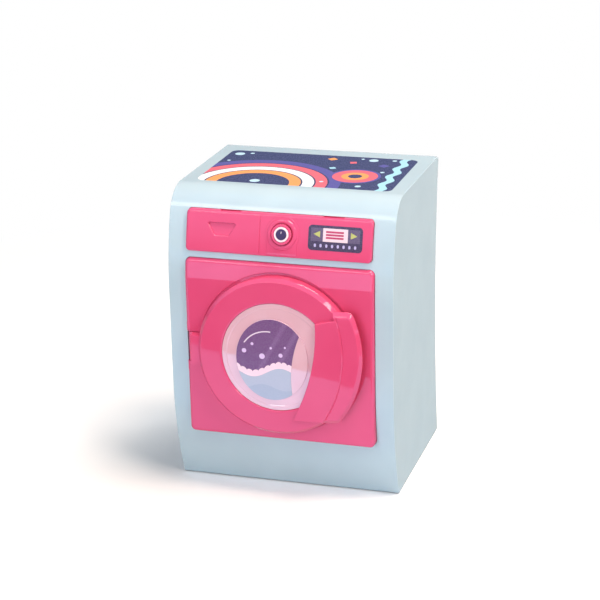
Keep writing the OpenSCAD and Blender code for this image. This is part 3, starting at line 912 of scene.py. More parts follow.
def turned_over(x: float, y: float, z: float) -> Matrix:
    """Seat of a screw whose head looks down."""
    return Matrix.Translation((x, y, z)) @ Matrix.Rotation(math.pi, 4, "X")


# ---------------------------------------------------------------- cabinet

@dataclass
class Cabinet:
    """The casing: shell, back cover, base plate, feet and the label on the top.

    vent and label are [width, height, corner radius], and vent_cut says from where to where the vents
    are cut, before the cabinet's middle.
    """

    finishes: Finishes
    width: float = 150.0
    wall: float = 2.0
    edge: float = 4.0
    boss_x: float = 68.2
    cover_inset: float = 1.2
    cover_gap: float = 0.3
    cover_sink: float = 0.7
    cover_screws: Triple = (16.0, 100.0, 184.0)
    vent: Triple = (64.0, 2.4, 1.19)
    vent_z: float = 150.0
    vent_pitch: float = 6.0
    vent_cut: Pair = (-60.0, -40.0)
    vents: int = 7
    base_z: float = 0.6
    base_y: Pair = (-53.8, 52.4)
    base_corner: float = 1.0
    base_screws: Pair = (-44.0, 42.0)
    base_screw_x: float = 64.0
    screw_lengths: Pair = (9.0, 10.0)
    pad_r: float = 6.0
    pad_edge: float = 0.4
    pad_x: float = 50.0
    pad_y: Pair = (-42.0, 40.0)
    groove_r: Pair = (3.0, 4.2)
    groove_slope: float = 0.3
    groove_deep: float = 0.25
    label: Triple = (131.0, 78.0, 5.0)
    label_y: float = 1.0
    film: float = 0.15

    @property
    def plate_half(self) -> float:
        """Half the width of the plates that close the back and the bottom."""
        return self.width / 2 - self.wall - self.cover_gap

    @property
    def cover_seats(self) -> list[Matrix]:
        """Seats of the back cover's screws."""
        return [facing_back(side * self.boss_x, LINE.back_y(z) - self.cover_inset - self.cover_sink, z)
                for side in (-1, 1) for z in self.cover_screws]

    @property
    def base_places(self) -> Outline:
        """Places of the base plate's screws, in [x, y]."""
        return [(side * self.base_screw_x, y) for side in (-1, 1) for y in self.base_screws]

    def shell(self, holes: list[Shape]) -> None:
        """The one-piece shell: front, sides and top, with the holes its front is given."""
        half = self.width / 2
        inner = half - self.wall
        corner_z = LINE.height - LINE.back_corner - NEAR

        def is_round(edge: bmesh.types.BMEdge) -> bool:
            """Whether a side's edge is rounded: the front's and the top's are, the open rims' aren't."""
            middle = (edge.verts[0].co + edge.verts[1].co) / 2
            return middle.z > NEAR and (middle.y < FRONT_HALF or min(v.co.z for v in edge.verts) > corner_z)

        shell = pulled(LINE.whole(), -half, half, ALONG_X)
        side_edges = edges_where(shell, lambda p: abs(abs(p.x) - half) < NEAR)
        round_edges(shell, [edge for edge in side_edges if is_round(edge)], self.edge, 6)
        hollow = pulled(LINE.inside(self.wall), -inner, inner, ALONG_X)
        shell = carve(shell, [hollow, *holes], Carve.CUT)
        soften(shell, 0.35, lambda p: p.z < 0.1 or p.y > FRONT_HALF)
        set_down(shell, "cabinet_body", self.finishes.cabinet, Body.CABINET, "cabinet_shell")

    def back_cover(self) -> None:
        """The cover that closes the back, hollow like the shell's back edge, with its vent slots."""
        low, high, steps = self.base_z, LINE.height - self.wall - self.cover_gap, 32
        heights = [low + (high - low) * i / steps for i in range(steps + 1)]
        outer = [(LINE.back_y(z) - self.cover_inset, z) for z in heights]
        inner = [(y - self.wall, z) for y, z in reversed(outer)]
        cover = pulled(outer + inner, -self.plate_half, self.plate_half, ALONG_X)
        rows = [self.vent_z + self.vent_pitch * (i - (self.vents - 1) / 2) for i in range(self.vents)]
        cuts = [pulled(rounded_box(*self.vent, (0, z)), *self.vent_cut) for z in rows]
        for seat in self.cover_seats:
            cuts += [bar(SCREW.sink, 0, 4, seat), bar(SCREW.hole, -4, 1, seat)]
        cover = carve(cover, cuts, Carve.CUT)
        soften(cover, 0.3)
        set_down(cover, "rear_panel", self.finishes.cabinet, Body.CABINET, "back_cover")

    def base(self) -> None:
        """The base plate and the four feet under it."""
        front, back = self.base_y
        outline = rounded_box(2 * self.plate_half, back - front, self.base_corner, (0, (front + back) / 2), 3)
        plate = pulled(outline, self.base_z, self.base_z + self.wall, ALONG_Z)
        holes = [bar(SCREW.hole, self.base_z - 1, self.base_z + 4, Matrix.Translation((x, y, 0)))
                 for x, y in self.base_places]
        plate = carve(plate, holes, Carve.CUT)
        soften(plate, 0.25)
        floor = -HOME.z
        inner, outer = self.groove_r
        roof = floor + self.groove_deep
        profile = [(0, self.base_z), (self.pad_r, self.base_z),
                   *arc((self.pad_r - self.pad_edge, floor + self.pad_edge), self.pad_edge, 0, -90, 4),
                   (outer, floor), (outer - self.groove_slope, roof), (inner + self.groove_slope, roof),
                   (inner, floor), (0, floor)]
        pads = [turned(profile, Matrix.Translation((side * self.pad_x, y, 0)), 48)
                for side in (-1, 1) for y in self.pad_y]
        set_down(plate, "underside_plate", self.finishes.cabinet, Body.CABINET, "base_plate")
        set_down(gathered(pads), "feet", self.finishes.pad, Body.CABINET, "foot_pads")

    def screws(self) -> None:
        """The screws of the back cover and the base plate."""
        back_len, base_len = self.screw_lengths
        back = [SCREW.made(back_len, seat) for seat in self.cover_seats]
        down = [SCREW.made(base_len, turned_over(x, y, self.base_z)) for x, y in self.base_places]
        for shapes, name, node in ((back, "rear_panel_screws", "back_cover_screws"),
                                   (down, "underside_screws", "base_screws")):
            set_down(gathered(shapes), name, self.finishes.screw, Body.CABINET, node)

    def top_film(self) -> None:
        """The printed label on the top."""
        outline = rounded_box(*self.label, (0, self.label_y))
        film = pulled(outline, LINE.height, LINE.height + self.film, ALONG_Z)
        ink = Inks.top((0, self.label_y, LINE.height))
        set_down(film, "top_film", ink, Body.CABINET, "top_label")

    def build(self, holes: list[Shape]) -> None:
        """Builds every piece of the casing."""
        self.shell(holes)
        self.back_cover()
        self.base()
        self.screws()
        self.top_film()


# ---------------------------------------------------------------- control fascia and knob

@dataclass
class Fascia:
    """The control fascia: a curved plate whose left part looks like a drawer front.

    grip_rings shapes its finger hold, as [height over the face, growth of the outline], and ring is the
    section of the ring round the knob, as [radius, height].  display_size is [width, height, corner].
    """

    finishes: Finishes
    width: float = 123.6
    middle_x: float = -0.7
    low: float = 161.8
    high: float = 188.2
    proud: float = 2.6
    thick: float = 4.4
    corner: float = 2.6
    edge: float = 1.3
    gap: float = 0.25
    drawer_rim: float = 1.2
    seam_x: float = -12.6
    seam: Pair = (0.36, 0.15)
    seam_gap: float = 0.3
    seam_deep: float = 0.3
    grip_x: float = -38.2
    grip_low: float = 10.4
    grip_top: float = 18.0
    grip_z: Pair = (173.0, 181.0)
    grip_corner: float = 0.8
    grip_floor: Pair = (0.75, 1.5)
    grip_rings: tuple[Pair, ...] = ((-1.7, -0.2), (-0.45, 0.0), (-0.2, 0.07), (-0.05, 0.25), (0.0, 0.5),
                                    (2.0, 0.5))
    slot_x: float = 34.0
    slot: Triple = (14.0, 3.0, 2.0)
    slot_y: float = -61.9
    knob: Pair = (2.2, 176.2)
    arch_r: float = 11.4
    arch_half: float = 10.1
    ring: tuple[Pair, ...] = ((7.1, -1.6), (7.1, 0.5), (7.5, 0.95), (8.4, 1.2), (9.2, 1.0), (9.8, 0.6),
                              (10.2, 0.0), (10.2, -1.6))
    ring_floor: float = -0.6
    bearing_r: Pair = (2.56, 4.6)
    bearing_z: Pair = (-8.0, -1.0)
    display: Pair = (37.2, 175.8)
    display_size: Triple = (35.4, 15.4, 2.4)
    film: float = 0.15

    @property
    def middle(self) -> Pair:
        """The fascia's middle, in [x, z]."""
        return self.middle_x, (self.low + self.high) / 2

    def hole(self) -> Shape:
        """The hole that the shell has for it."""
        outline = rounded_box(self.width + 2 * self.gap, self.high - self.low + 2 * self.gap,
                              self.corner + self.gap, self.middle, 5)
        return pulled(outline, *THROUGH)

    def seat(self, x: float, z: float) -> Matrix:
        """A frame on the fascia's face, its z square out of it."""
        reach = LINE.upper_r + self.proud
        tilt = math.asin((z - LINE.upper_z) / reach)
        y = LINE.upper_r - LINE.belly - reach * math.cos(tilt)
        return Matrix.Translation((x, y, z)) @ Matrix.Rotation(math.pi / 2 - tilt, 4, "X")

    def grip(self) -> Shape:
        """The shape of the finger hold: rounded at its rim, its floor sloping down to the back at the top."""
        low, high = self.grip_z
        half = (high - low) / 2
        corner = self.grip_corner
        shallow, deep = self.grip_floor
        rings = []
        for height, grow in self.grip_rings:
            centres = [(side * (wide / 2 - corner), v - math.copysign(corner, v)) for side, wide, v in
                       ((1, self.grip_top, half), (-1, self.grip_top, half),
                        (-1, self.grip_low, -half), (1, self.grip_low, -half))]
            outline = round_poly(centres, corner + grow, 5)
            slope = (deep - shallow) / (2 * half) if height < -deep else 0.0
            start = -shallow if slope else height
            rings.append([(u, v, start - slope * (v + half)) for u, v in outline])
        return lofted(rings, self.seat(self.grip_x, (low + high) / 2))

    def raised(self, seat: Matrix) -> list[Shape]:
        """What stands on the plate: the drawer's face, and the arch, ring and bearing round the knob."""
        middle_x, middle_z = self.middle
        left = middle_x - self.width / 2 + self.drawer_rim
        right = self.seam_x - self.seam_gap
        drawer = rounded_box(right - left, self.high - self.low - 2 * self.drawer_rim, self.corner - 1.0,
                             ((left + right) / 2, middle_z), 5)
        x, z = self.knob
        foot = self.low + 1.4
        arch = [*arc((x, z), self.arch_r, -28, 208, 28),
                (x - self.arch_half, foot), (x + self.arch_half, foot)]
        (inner, outer), (start, end) = self.bearing_r, self.bearing_z
        return [on_skin(drawer, self.proud + 0.25, 1.2, 0.25, 2),
                on_skin(arch, self.proud + 0.3, 1.2, 0.3, 2),
                turned(list(self.ring), seat, 96, closed=True),
                turned([(inner, start), (outer, start), (outer, end), (inner, end)], seat, 48, closed=True)]

    def plate(self) -> None:
        """The moulded plate with everything that stands on it or is sunk in it."""
        face = (self.width, self.high - self.low)
        plate = on_skin(rounded_box(*face, self.corner, self.middle, 5), self.proud, self.thick, self.edge, 5)
        seat = self.seat(*self.knob)
        plate = carve(plate, self.raised(seat), Carve.JOIN)
        slots = [block(self.slot, (side * self.slot_x + 1, self.slot_y, self.high - self.slot[2] / 2 + 0.2))
                 for side in (-1, 1)]
        wide, corner = self.seam
        seam = on_skin(rounded_box(wide, face[1] + 4, corner, (self.seam_x, self.middle[1]), 2),
                       self.proud + 2, 2 + self.seam_deep)
        cuts = [self.grip(), *slots, seam, bar(self.ring[0][0], self.ring_floor, 3, seat, steps=96),
                bar(self.bearing_r[0], -12, 3, seat)]
        plate = carve(plate, cuts, Carve.CUT)
        set_down(plate, "control_panel", self.finishes.pink, Body.CABINET, "control_fascia")

    def display_film(self) -> None:
        """The printed display label."""
        outline = rounded_box(*self.display_size, self.display, 6)
        film = on_skin(outline, self.proud + self.film, self.film + 0.1)
        ink = Inks.display((self.display[0], 0, self.display[1]))
        set_down(film, "display_film", ink, Body.CABINET, "display_label")

    def build(self) -> None:
        """Builds the fascia and its label."""
        self.plate()
        self.display_film()


@dataclass
class Knob:
    """The turning knob: a ribbed grip on its stem, a pale collar and a dark cap with a pointer.

    pointer and the notch that it lies in are [width, height, corner radius].
    """

    finishes: Finishes
    seat: Matrix
    radius: float = 6.7
    height: float = 2.2
    ribs: int = 24
    rib_steps: int = 8
    rib_deep: float = 0.05
    dish_r: float = 5.1
    dish_z: float = 1.7
    collar_r: Pair = (3.55, 4.85)
    collar_t: float = 0.7
    cap_r: float = 3.5
    cap_t: float = 0.8
    cap_edge: float = 0.35
    pointer: Triple = (0.32, 1.46, 0.15)
    notch: Triple = (0.34, 1.5, 0.16)
    pointer_y: float = 1.25
    pointer_deep: float = 0.2
    stem_r: float = 2.5
    stem_end: float = -8.2
    drive: Triple = (3.3, 3.3, 3.1)

    def grip(self) -> None:
        """The ribbed grip and its stem in one moulding."""
        bm = bmesh.new()
        bmesh.ops.create_circle(bm, cap_ends=True, segments=self.rib_steps * self.ribs, radius=self.radius)
        for i, vert in enumerate(bm.verts):
            groove = max(0.0, math.cos(math.tau * i / self.rib_steps)) ** 2
            vert.co *= 1 - self.rib_deep * groove
        raise_faces(bm, self.height)
        round_edges(bm, edges_where(bm, lambda p: p.z > self.height - NEAR), 0.45, 3)
        stem = bar(self.stem_r, self.stem_end, 0.1, ALONG_Z)
        drive = block(self.drive, (0, 0, self.stem_end - 1.5))
        dish = bar(self.dish_r, self.dish_z, 6, ALONG_Z, steps=64)
        grip = carve(carve(bm, [stem, drive], Carve.JOIN), [dish], Carve.CUT)
        set_down(placed(grip, self.seat), "knob_grip", self.finishes.pink, Body.KNOB, "knob")

    def face(self) -> None:
        """The collar, and the cap with its pointer let in."""
        inner, outer = self.collar_r
        top = self.dish_z + self.collar_t
        rim = [(inner, self.dish_z), (inner, top - 0.15), (inner + 0.15, top), (outer - 0.3, top),
               (outer, top - 0.3), (outer, self.dish_z)]
        collar = turned(rim, self.seat, 64, closed=True)
        high = self.dish_z + self.cap_t
        corner = (self.cap_r - self.cap_edge, high - self.cap_edge)
        dome = [(0, self.dish_z), (self.cap_r, self.dish_z), *arc(corner, self.cap_edge, 0, 80, 4),
                (2.0, high), (0, high)]
        floor = high - self.pointer_deep
        notch = pulled(rounded_box(*self.notch, (0, self.pointer_y), 3), floor, high + 1, self.seat)
        cap = carve(turned(dome, self.seat, 64), [notch], Carve.CUT)
        pointer = pulled(rounded_box(*self.pointer, (0, self.pointer_y), 3), floor, high, self.seat)
        set_down(collar, "knob_ring", self.finishes.collar, Body.KNOB, "knob_collar")
        set_down(cap, "knob_centre", self.finishes.cap, Body.KNOB, "knob_cap")
        set_down(pointer, "knob_pointer", self.finishes.collar, Body.KNOB)

    def build(self) -> None:
        """Builds the knob."""
        self.grip()
        self.face()


# ---------------------------------------------------------------- door surround

HINGE = (-59.2, 71.0)          # X of the hinge pin, and how far it stands before the cabinet's middle
CATCH_X = 50.6                 # X of the door's catch peg and of the hole that it snaps into


def on_hinge(z: float) -> Matrix:
    """A frame on the hinge pin at a height."""
    return Matrix.Translation((HINGE[0], -HINGE[1], z))


@dataclass
class Surround:
    """The square plate round the door, with its loading hole, hinge notch and catch hole.

    Where a place is called in, it is [from the plate's left side, from its face].
    """

    finishes: Finishes
    door_z: float
    width: float = 126.0
    low: float = 37.4
    high: float = 157.2
    face: float = 73.3
    back: float = 61.6
    corner: float = 3.6
    edge: float = 2.4
    gap: float = 0.25
    wall: float = 2.0
    loading_r: float = 47.5
    recess_r: Pair = (52.2, 54.2)
    recess: float = 0.7
    recess_lip: float = 0.6
    band_z: float = 144.2
    band_lean: float = 9.0
    band_bend: float = 0.5
    hinge_half: float = 10.4
    block_size: Triple = (8.4, 8.6, 33.0)
    block_in: Pair = (4.4, 5.3)
    notch: Pair = (10.6, 6.5)
    notch_in: Pair = (4.3, 2.25)
    catch_r: float = 1.5
    pin: Pair = (1.0, 15.4)

    def outline(self, grow: float) -> Outline:
        """The plate's outline, grown by an amount on every side."""
        return rounded_box(self.width + 2 * grow, self.high - self.low + 2 * grow, self.corner + grow,
                           (0, (self.low + self.high) / 2), 8)

    def hole(self) -> Shape:
        """The hole that the shell has for it."""
        return pulled(self.outline(self.gap), *THROUGH)

    def lean(self, bm: Shape) -> None:
        """Leans the band along the plate's top edge back, over a narrow bend."""
        for shift in (-self.band_bend, self.band_bend):
            whole = [*bm.verts, *bm.edges, *bm.faces]
            bmesh.ops.bisect_plane(bm, geom=whole, plane_co=(0, 0, self.band_z + shift),
                                   plane_no=(0, 0, 1), dist=NEAR)
        slope = math.tan(math.radians(self.band_lean))
        for vert in bm.verts:
            past = vert.co.z - self.band_z
            if past > 0 and vert.co.y < -self.back - 4:
                vert.co.y += slope * past

    def within(self, size: Triple, place: Pair) -> Shape:
        """A block at the hinge's height, its middle at a place in the plate."""
        return block(size, (-self.width / 2 + place[0], -self.face + place[1], self.door_z))

    def build(self) -> None:
        """Builds the plate."""
        plate = pulled(self.outline(0), self.back, self.face)
        round_edges(plate, edges_where(plate, lambda p: abs(p.y + self.face) < NEAR), self.edge, 6)
        pocket = pulled(self.outline(-self.wall), self.back - 5, self.face - self.wall)
        axis = facing_front(0, self.door_z)
        inner, outer = self.recess_r
        lip, floor = self.recess_lip, self.face - self.recess
        section = [(inner, floor), (outer, floor),
                   *arc((outer + lip, self.face - lip + 0.01), lip, 180, 90, 4),
                   (outer + lip, self.face + 3), (inner, self.face + 3)]
        recess = turned(section, axis, 160, closed=True)
        for shape in (plate, pocket, recess):
            self.lean(shape)
        plate = carve(plate, [pocket, recess], Carve.CUT)
        plate = carve(plate, [self.within(self.block_size, self.block_in)], Carve.JOIN)
        pin_r, pin_half = self.pin
        cuts = [bar(self.loading_r, *THROUGH, axis, steps=128),
                self.within((*self.notch, 2 * self.hinge_half), self.notch_in),
                bar(self.catch_r, 60, 80, facing_front(CATCH_X, self.door_z)),
                bar(pin_r, -pin_half, pin_half, on_hinge(self.door_z))]
        plate = carve(plate, cuts, Carve.CUT)
        soften(plate, 0.35, lambda p: p.y < -self.face + 0.05 and p.z < self.band_z - 1)
        set_down(plate, "door_frame", self.finishes.pink, Body.CABINET, "door_surround")


# ---------------------------------------------------------------- door

@dataclass
class Door:
    """The round door: ring and handle in one moulding, lens, its label, liner and screws.

    Its own frame has its origin on the door's axis, x to the right, y up and z out of the front.  Each
    of lip_ends is a point on the line that ends the lip, with the line's slope in degrees.
    """

    finishes: Finishes
    centre_z: float
    back: float = 73.8
    front: float = 81.3
    ring_r: float = 53.2
    ring_wall: float = 2.0
    ring_shoulder: Shoulder = Shoulder(3.3, 3.2, 1.6, 0.7)
    window_r: float = 36.4
    window_edge: float = 1.2
    handle_c: Pair = (-15.0, 4.2)
    handle_r: float = 72.5
    handle_t: float = 2.6
    handle_edge: float = 0.6
    cut_ends: Pair = (-41.4, 25.9)
    crease_ends: Pair = (-41.0, 29.7)
    lip_step: float = 0.3
    lip_shoulder: Shoulder = Shoulder(4.4, 3.0, 1.0, 1.6)
    lip_corner: float = 4.6
    lip_slant: float = 1.5
    lip_under: float = 1.5
    lip_fall: float = 0.03
    lip_flat: float = 6.0
    lip_ends: tuple[tuple[Pair, float], ...] = (((38.5, -41.4), 5.0), ((46.0, 34.8), 2.0))
    cut_c: Pair = (-100.5, 21.2)
    cut_r: float = 127.8
    crease: Pair = (0.85, 0.8)
    crease_c: Pair = (-37.6, 4.8)
    crease_r: float = 83.0
    hinge_r: float = 2.8
    hinge_bore: float = 1.05
    hinge_half: float = 10.0
    arm: Pair = (7.0, 4.5)
    arm_sunk: float = 2.2
    arm_behind: float = 2.4
    web: Pair = (3.6, 1.6)
    web_at: Pair = (2.4, 1.8)
    peg_r: float = 1.2
    peg_end: float = 69.9
    lens_r: float = 39.6
    lens_t: float = 1.6
    lens_sunk: float = 0.7
    lens_dish: float = 0.25
    lens_rim: Pair = (0.1, 3.4)
    oval: Pair = (24.1, 27.6)
    oval_c: Pair = (-2.5, -1.6)
    oval_sunk: float = 0.2
    crescent_c: Pair = (86.5, -14.0)
    crescent_r: float = 76.4
    film: float = 0.15
    liner_r: float = 46.0
    liner_back: float = 74.2
    post_r: float = 2.8
    screw_r: float = 42.4
    screw_angles: tuple[int, ...] = (30, 150, 210, 330)
    screw_len: float = 4.0

    @property
    def axis(self) -> Matrix:
        """The door's own frame."""
        return facing_front(0, self.centre_z)

    @property
    def screw_axes(self) -> list[Matrix]:
        """The axes of the liner's screws."""
        return [out_from(self.axis, self.screw_r, angle) for angle in self.screw_angles]

    def ring(self) -> Shape:
        """The ring: a sloped shoulder outside, and a rounded window edge."""
        inner, floor = self.ring_r - self.ring_wall, self.front - self.ring_wall
        edge = self.window_edge
        section = [(inner, self.back), (self.ring_r, self.back),
                   *((self.ring_r - inwards, self.front - under)
                     for inwards, under in self.ring_shoulder.section()),
                   *arc((self.window_r + edge, self.front - edge), edge, 90, 180, 6),
                   (self.window_r, floor), (inner, floor)]
        return turned(section, self.axis, 160, closed=True)

    def side_arc(self, centre: Pair, radius: float, ends: Pair) -> Outline:
        """The right side of a circle between two heights, from low to high."""
        start, end = (math.degrees(math.asin((v - centre[1]) / radius)) for v in ends)
        return arc(centre, radius, start, end, 20)

    def lip_outline(self, inset: float) -> Outline:
        """The handle's lip seen from the front, from under the flat to its outer edge.

        Args:
            inset: How far its outer edge and its two ends lie inside their outermost place.

        Returns:
            The outline, anticlockwise from the lower end of its inner side.
        """
        corner = max(self.lip_corner - inset, 0.3)
        centre = Vector(self.handle_c)
        inner = self.crease_r - self.lip_under
        ends = []
        for end, angle in self.lip_ends:
            way = Vector((math.cos(math.radians(angle)), math.sin(math.radians(angle))))
            inward = Vector((-way.y, way.x)) * -math.copysign(1, end[1])
            rim = Vector(end) + inward * (self.lip_slant * inset)
            start = rightmost(rim, way, Vector(self.crease_c), inner)
            pivot = rightmost(rim + inward * corner, way, centre, self.handle_r - inset - corner)
            outwards = math.degrees(math.atan2(*(pivot - centre).yx))
            square = math.degrees(math.atan2(-inward.y, -inward.x))
            ends.append((start, pivot, outwards, square))
        (low, low_pivot, low_out, low_square), (high, high_pivot, high_out, high_square) = ends
        rise = [math.degrees(math.asin((p.y - self.crease_c[1]) / inner)) for p in (high, low)]
        return [tuple(low), *arc(low_pivot, corner, low_square, low_out, 6),
                *arc(centre, self.handle_r - inset, low_out, high_out, 30)[1:-1],
                *arc(high_pivot, corner, high_out, high_square, 6),
                *arc(self.crease_c, inner, rise[0], rise[1], 24)[:-1]]

    def handle(self) -> list[Shape]:
        """The flat of the handle and, a step lower, the lip that fingers pull."""
        top = self.front + self.handle_t
        left = self.side_arc(self.cut_c, self.cut_r, self.cut_ends)
        right = self.side_arc(self.crease_c, self.crease_r, self.crease_ends)
        flat = pulled([*right, *reversed(left)], self.front - 0.6, top, self.axis)
        round_edges(flat, edges_where(flat, lambda p: abs(p.y + top) < NEAR), self.handle_edge, 4)
        face = top - self.lip_step
        rings = [(0.0, self.front - 0.8),
                 *((inwards, face - under) for inwards, under in self.lip_shoulder.section())]
        lip = lofted([[(u, v, depth) for u, v in self.lip_outline(inset)] for inset, depth in rings],
                     self.axis)
        crease_x = self.crease_c[0] + self.crease_r
        for vert in lip.verts:
            past = max(0.0, vert.co.x - crease_x + self.lip_flat)
            if vert.co.y < -self.front:
                vert.co.y += self.lip_fall * past
        return [flat, lip]

    def hinge_parts(self) -> list[Shape]:
        """The knuckle and the arm that carries it, and the catch peg."""
        x, y = HINGE
        tall = 2 * self.hinge_half
        knuckle = bar(self.hinge_r, -self.hinge_half, self.hinge_half, on_hinge(self.centre_z), 0.3)
        arm_front, arm_back = self.front - self.arm_sunk, y + self.arm_behind
        arm_wide, arm_x = self.arm
        arm = block((arm_wide, arm_front - arm_back, tall),
                    (x + arm_x, -(arm_front + arm_back) / 2, self.centre_z))
        web = block((*self.web, tall), (x + self.web_at[0], -y - self.web_at[1], self.centre_z))
        peg = bar(self.peg_r, self.peg_end, self.front - 1, facing_front(CATCH_X, self.centre_z))
        return [knuckle, arm, web, peg]

    def crease_cut(self) -> Shape:
        """The shape of the groove between the handle's flat and its lip."""
        half, deep = self.crease
        top = self.front + self.handle_t + 0.02
        section = [(self.crease_r - half, top), (self.crease_r, top - deep), (self.crease_r + half, top),
                   (self.crease_r, top + 1)]
        return turned(section, self.axis @ Matrix.Translation((*self.crease_c, 0)), 256, closed=True)

    def moulding(self) -> None:
        """Ring, handle, knuckle and screw posts, joined into one moulding."""
        posts = [bar(self.post_r, self.back + self.lens_t, self.front - 1, axis) for axis in self.screw_axes]
        door = carve(self.ring(), [*self.hinge_parts(), *posts, *self.handle()], Carve.JOIN)
        bore = bar(self.hinge_bore, -30, 30, on_hinge(self.centre_z))
        door = carve(door, [bore, self.crease_cut()], Carve.CUT)
        set_down(door, "door_moulding", self.finishes.pink, Body.DOOR, "door_ring")

    def ellipse(self, trim: float, start: float, end: float) -> Shape:
        """The raised oval of the lens, trimmed all round, between two depths."""
        bm = bmesh.new()
        bmesh.ops.create_circle(bm, cap_ends=True, segments=128, radius=1.0)
        size = Matrix.Diagonal((self.oval[0] - trim, self.oval[1] - trim, 1, 1))
        placed(bm, Matrix.Translation((*self.oval_c, start)) @ size)
        raise_faces(bm, end - start)
        return placed(bm, self.axis)

    def lens(self) -> None:
        """The lens: a plug with a low rim, and the raised oval that carries the label."""
        seat = self.front - self.ring_wall
        rim, inside = (self.window_r - inwards for inwards in self.lens_rim)
        face = self.front - self.lens_sunk
        floor = face - self.lens_dish
        back = seat - self.lens_t
        section = [(0, back), (self.lens_r, back), (self.lens_r, seat), (rim, seat),
                   *arc((rim - 0.4, face - 0.4), 0.4, 0, 90, 4), (inside + 0.35, face), (inside, floor),
                   (0, floor)]
        oval_z = self.front - self.oval_sunk
        oval = self.ellipse(0, face - 1, oval_z)
        round_edges(oval, edges_where(oval, lambda p: abs(p.y + oval_z) < NEAR), 0.2, 3)
        lens = carve(turned(section, self.axis, 128), [oval], Carve.JOIN)
        set_down(lens, "door_window", self.finishes.lens, Body.DOOR, "door_lens")

    def window_film(self) -> None:
        """The printed label on the oval, ended by a crescent."""
        oval_z = self.front - self.oval_sunk
        film = self.ellipse(0.2, oval_z, oval_z + self.film)
        place = self.axis @ Matrix.Translation((*self.crescent_c, 0))
        crescent = bar(self.crescent_r, self.front - 2, self.front + 2, place, steps=256)
        film = carve(film, [crescent], Carve.CUT)
        set_down(film, "window_film", Inks.lens((0, 0, self.centre_z)), Body.DOOR, "lens_label")

    def liner(self) -> None:
        """The white ring that holds the lens from behind, and its screws."""
        front = self.front - self.ring_wall - self.lens_t
        section = [(self.window_r - 2, front), (self.liner_r, front),
                   *arc((self.liner_r - 0.6, self.liner_back + 0.6), 0.6, 0, -90, 3),
                   *arc((self.window_r - 1, self.liner_back + 1), 1.0, -90, -180, 4)]
        holes = []
        for axis in self.screw_axes:
            holes += [bar(SCREW.sink, self.back + self.lens_t, self.front, axis),
                      bar(SCREW.hole, self.liner_back - 1, self.front, axis)]
        liner = carve(turned(section, self.axis, 128, closed=True), holes, Carve.CUT)
        screws = [SCREW.made(self.screw_len, axis @ turned_over(0, 0, self.liner_back))
                  for axis in self.screw_axes]
        set_down(liner, "window_clamp", self.finishes.white, Body.DOOR, "door_liner")
        set_down(gathered(screws), "window_clamp_screws", self.finishes.screw, Body.DOOR, "liner_screws")

    def build(self) -> None:
        """Builds every piece of the door."""
        self.moulding()
        self.lens()
        self.window_film()
        self.liner()


# ---------------------------------------------------------------- tub and drum

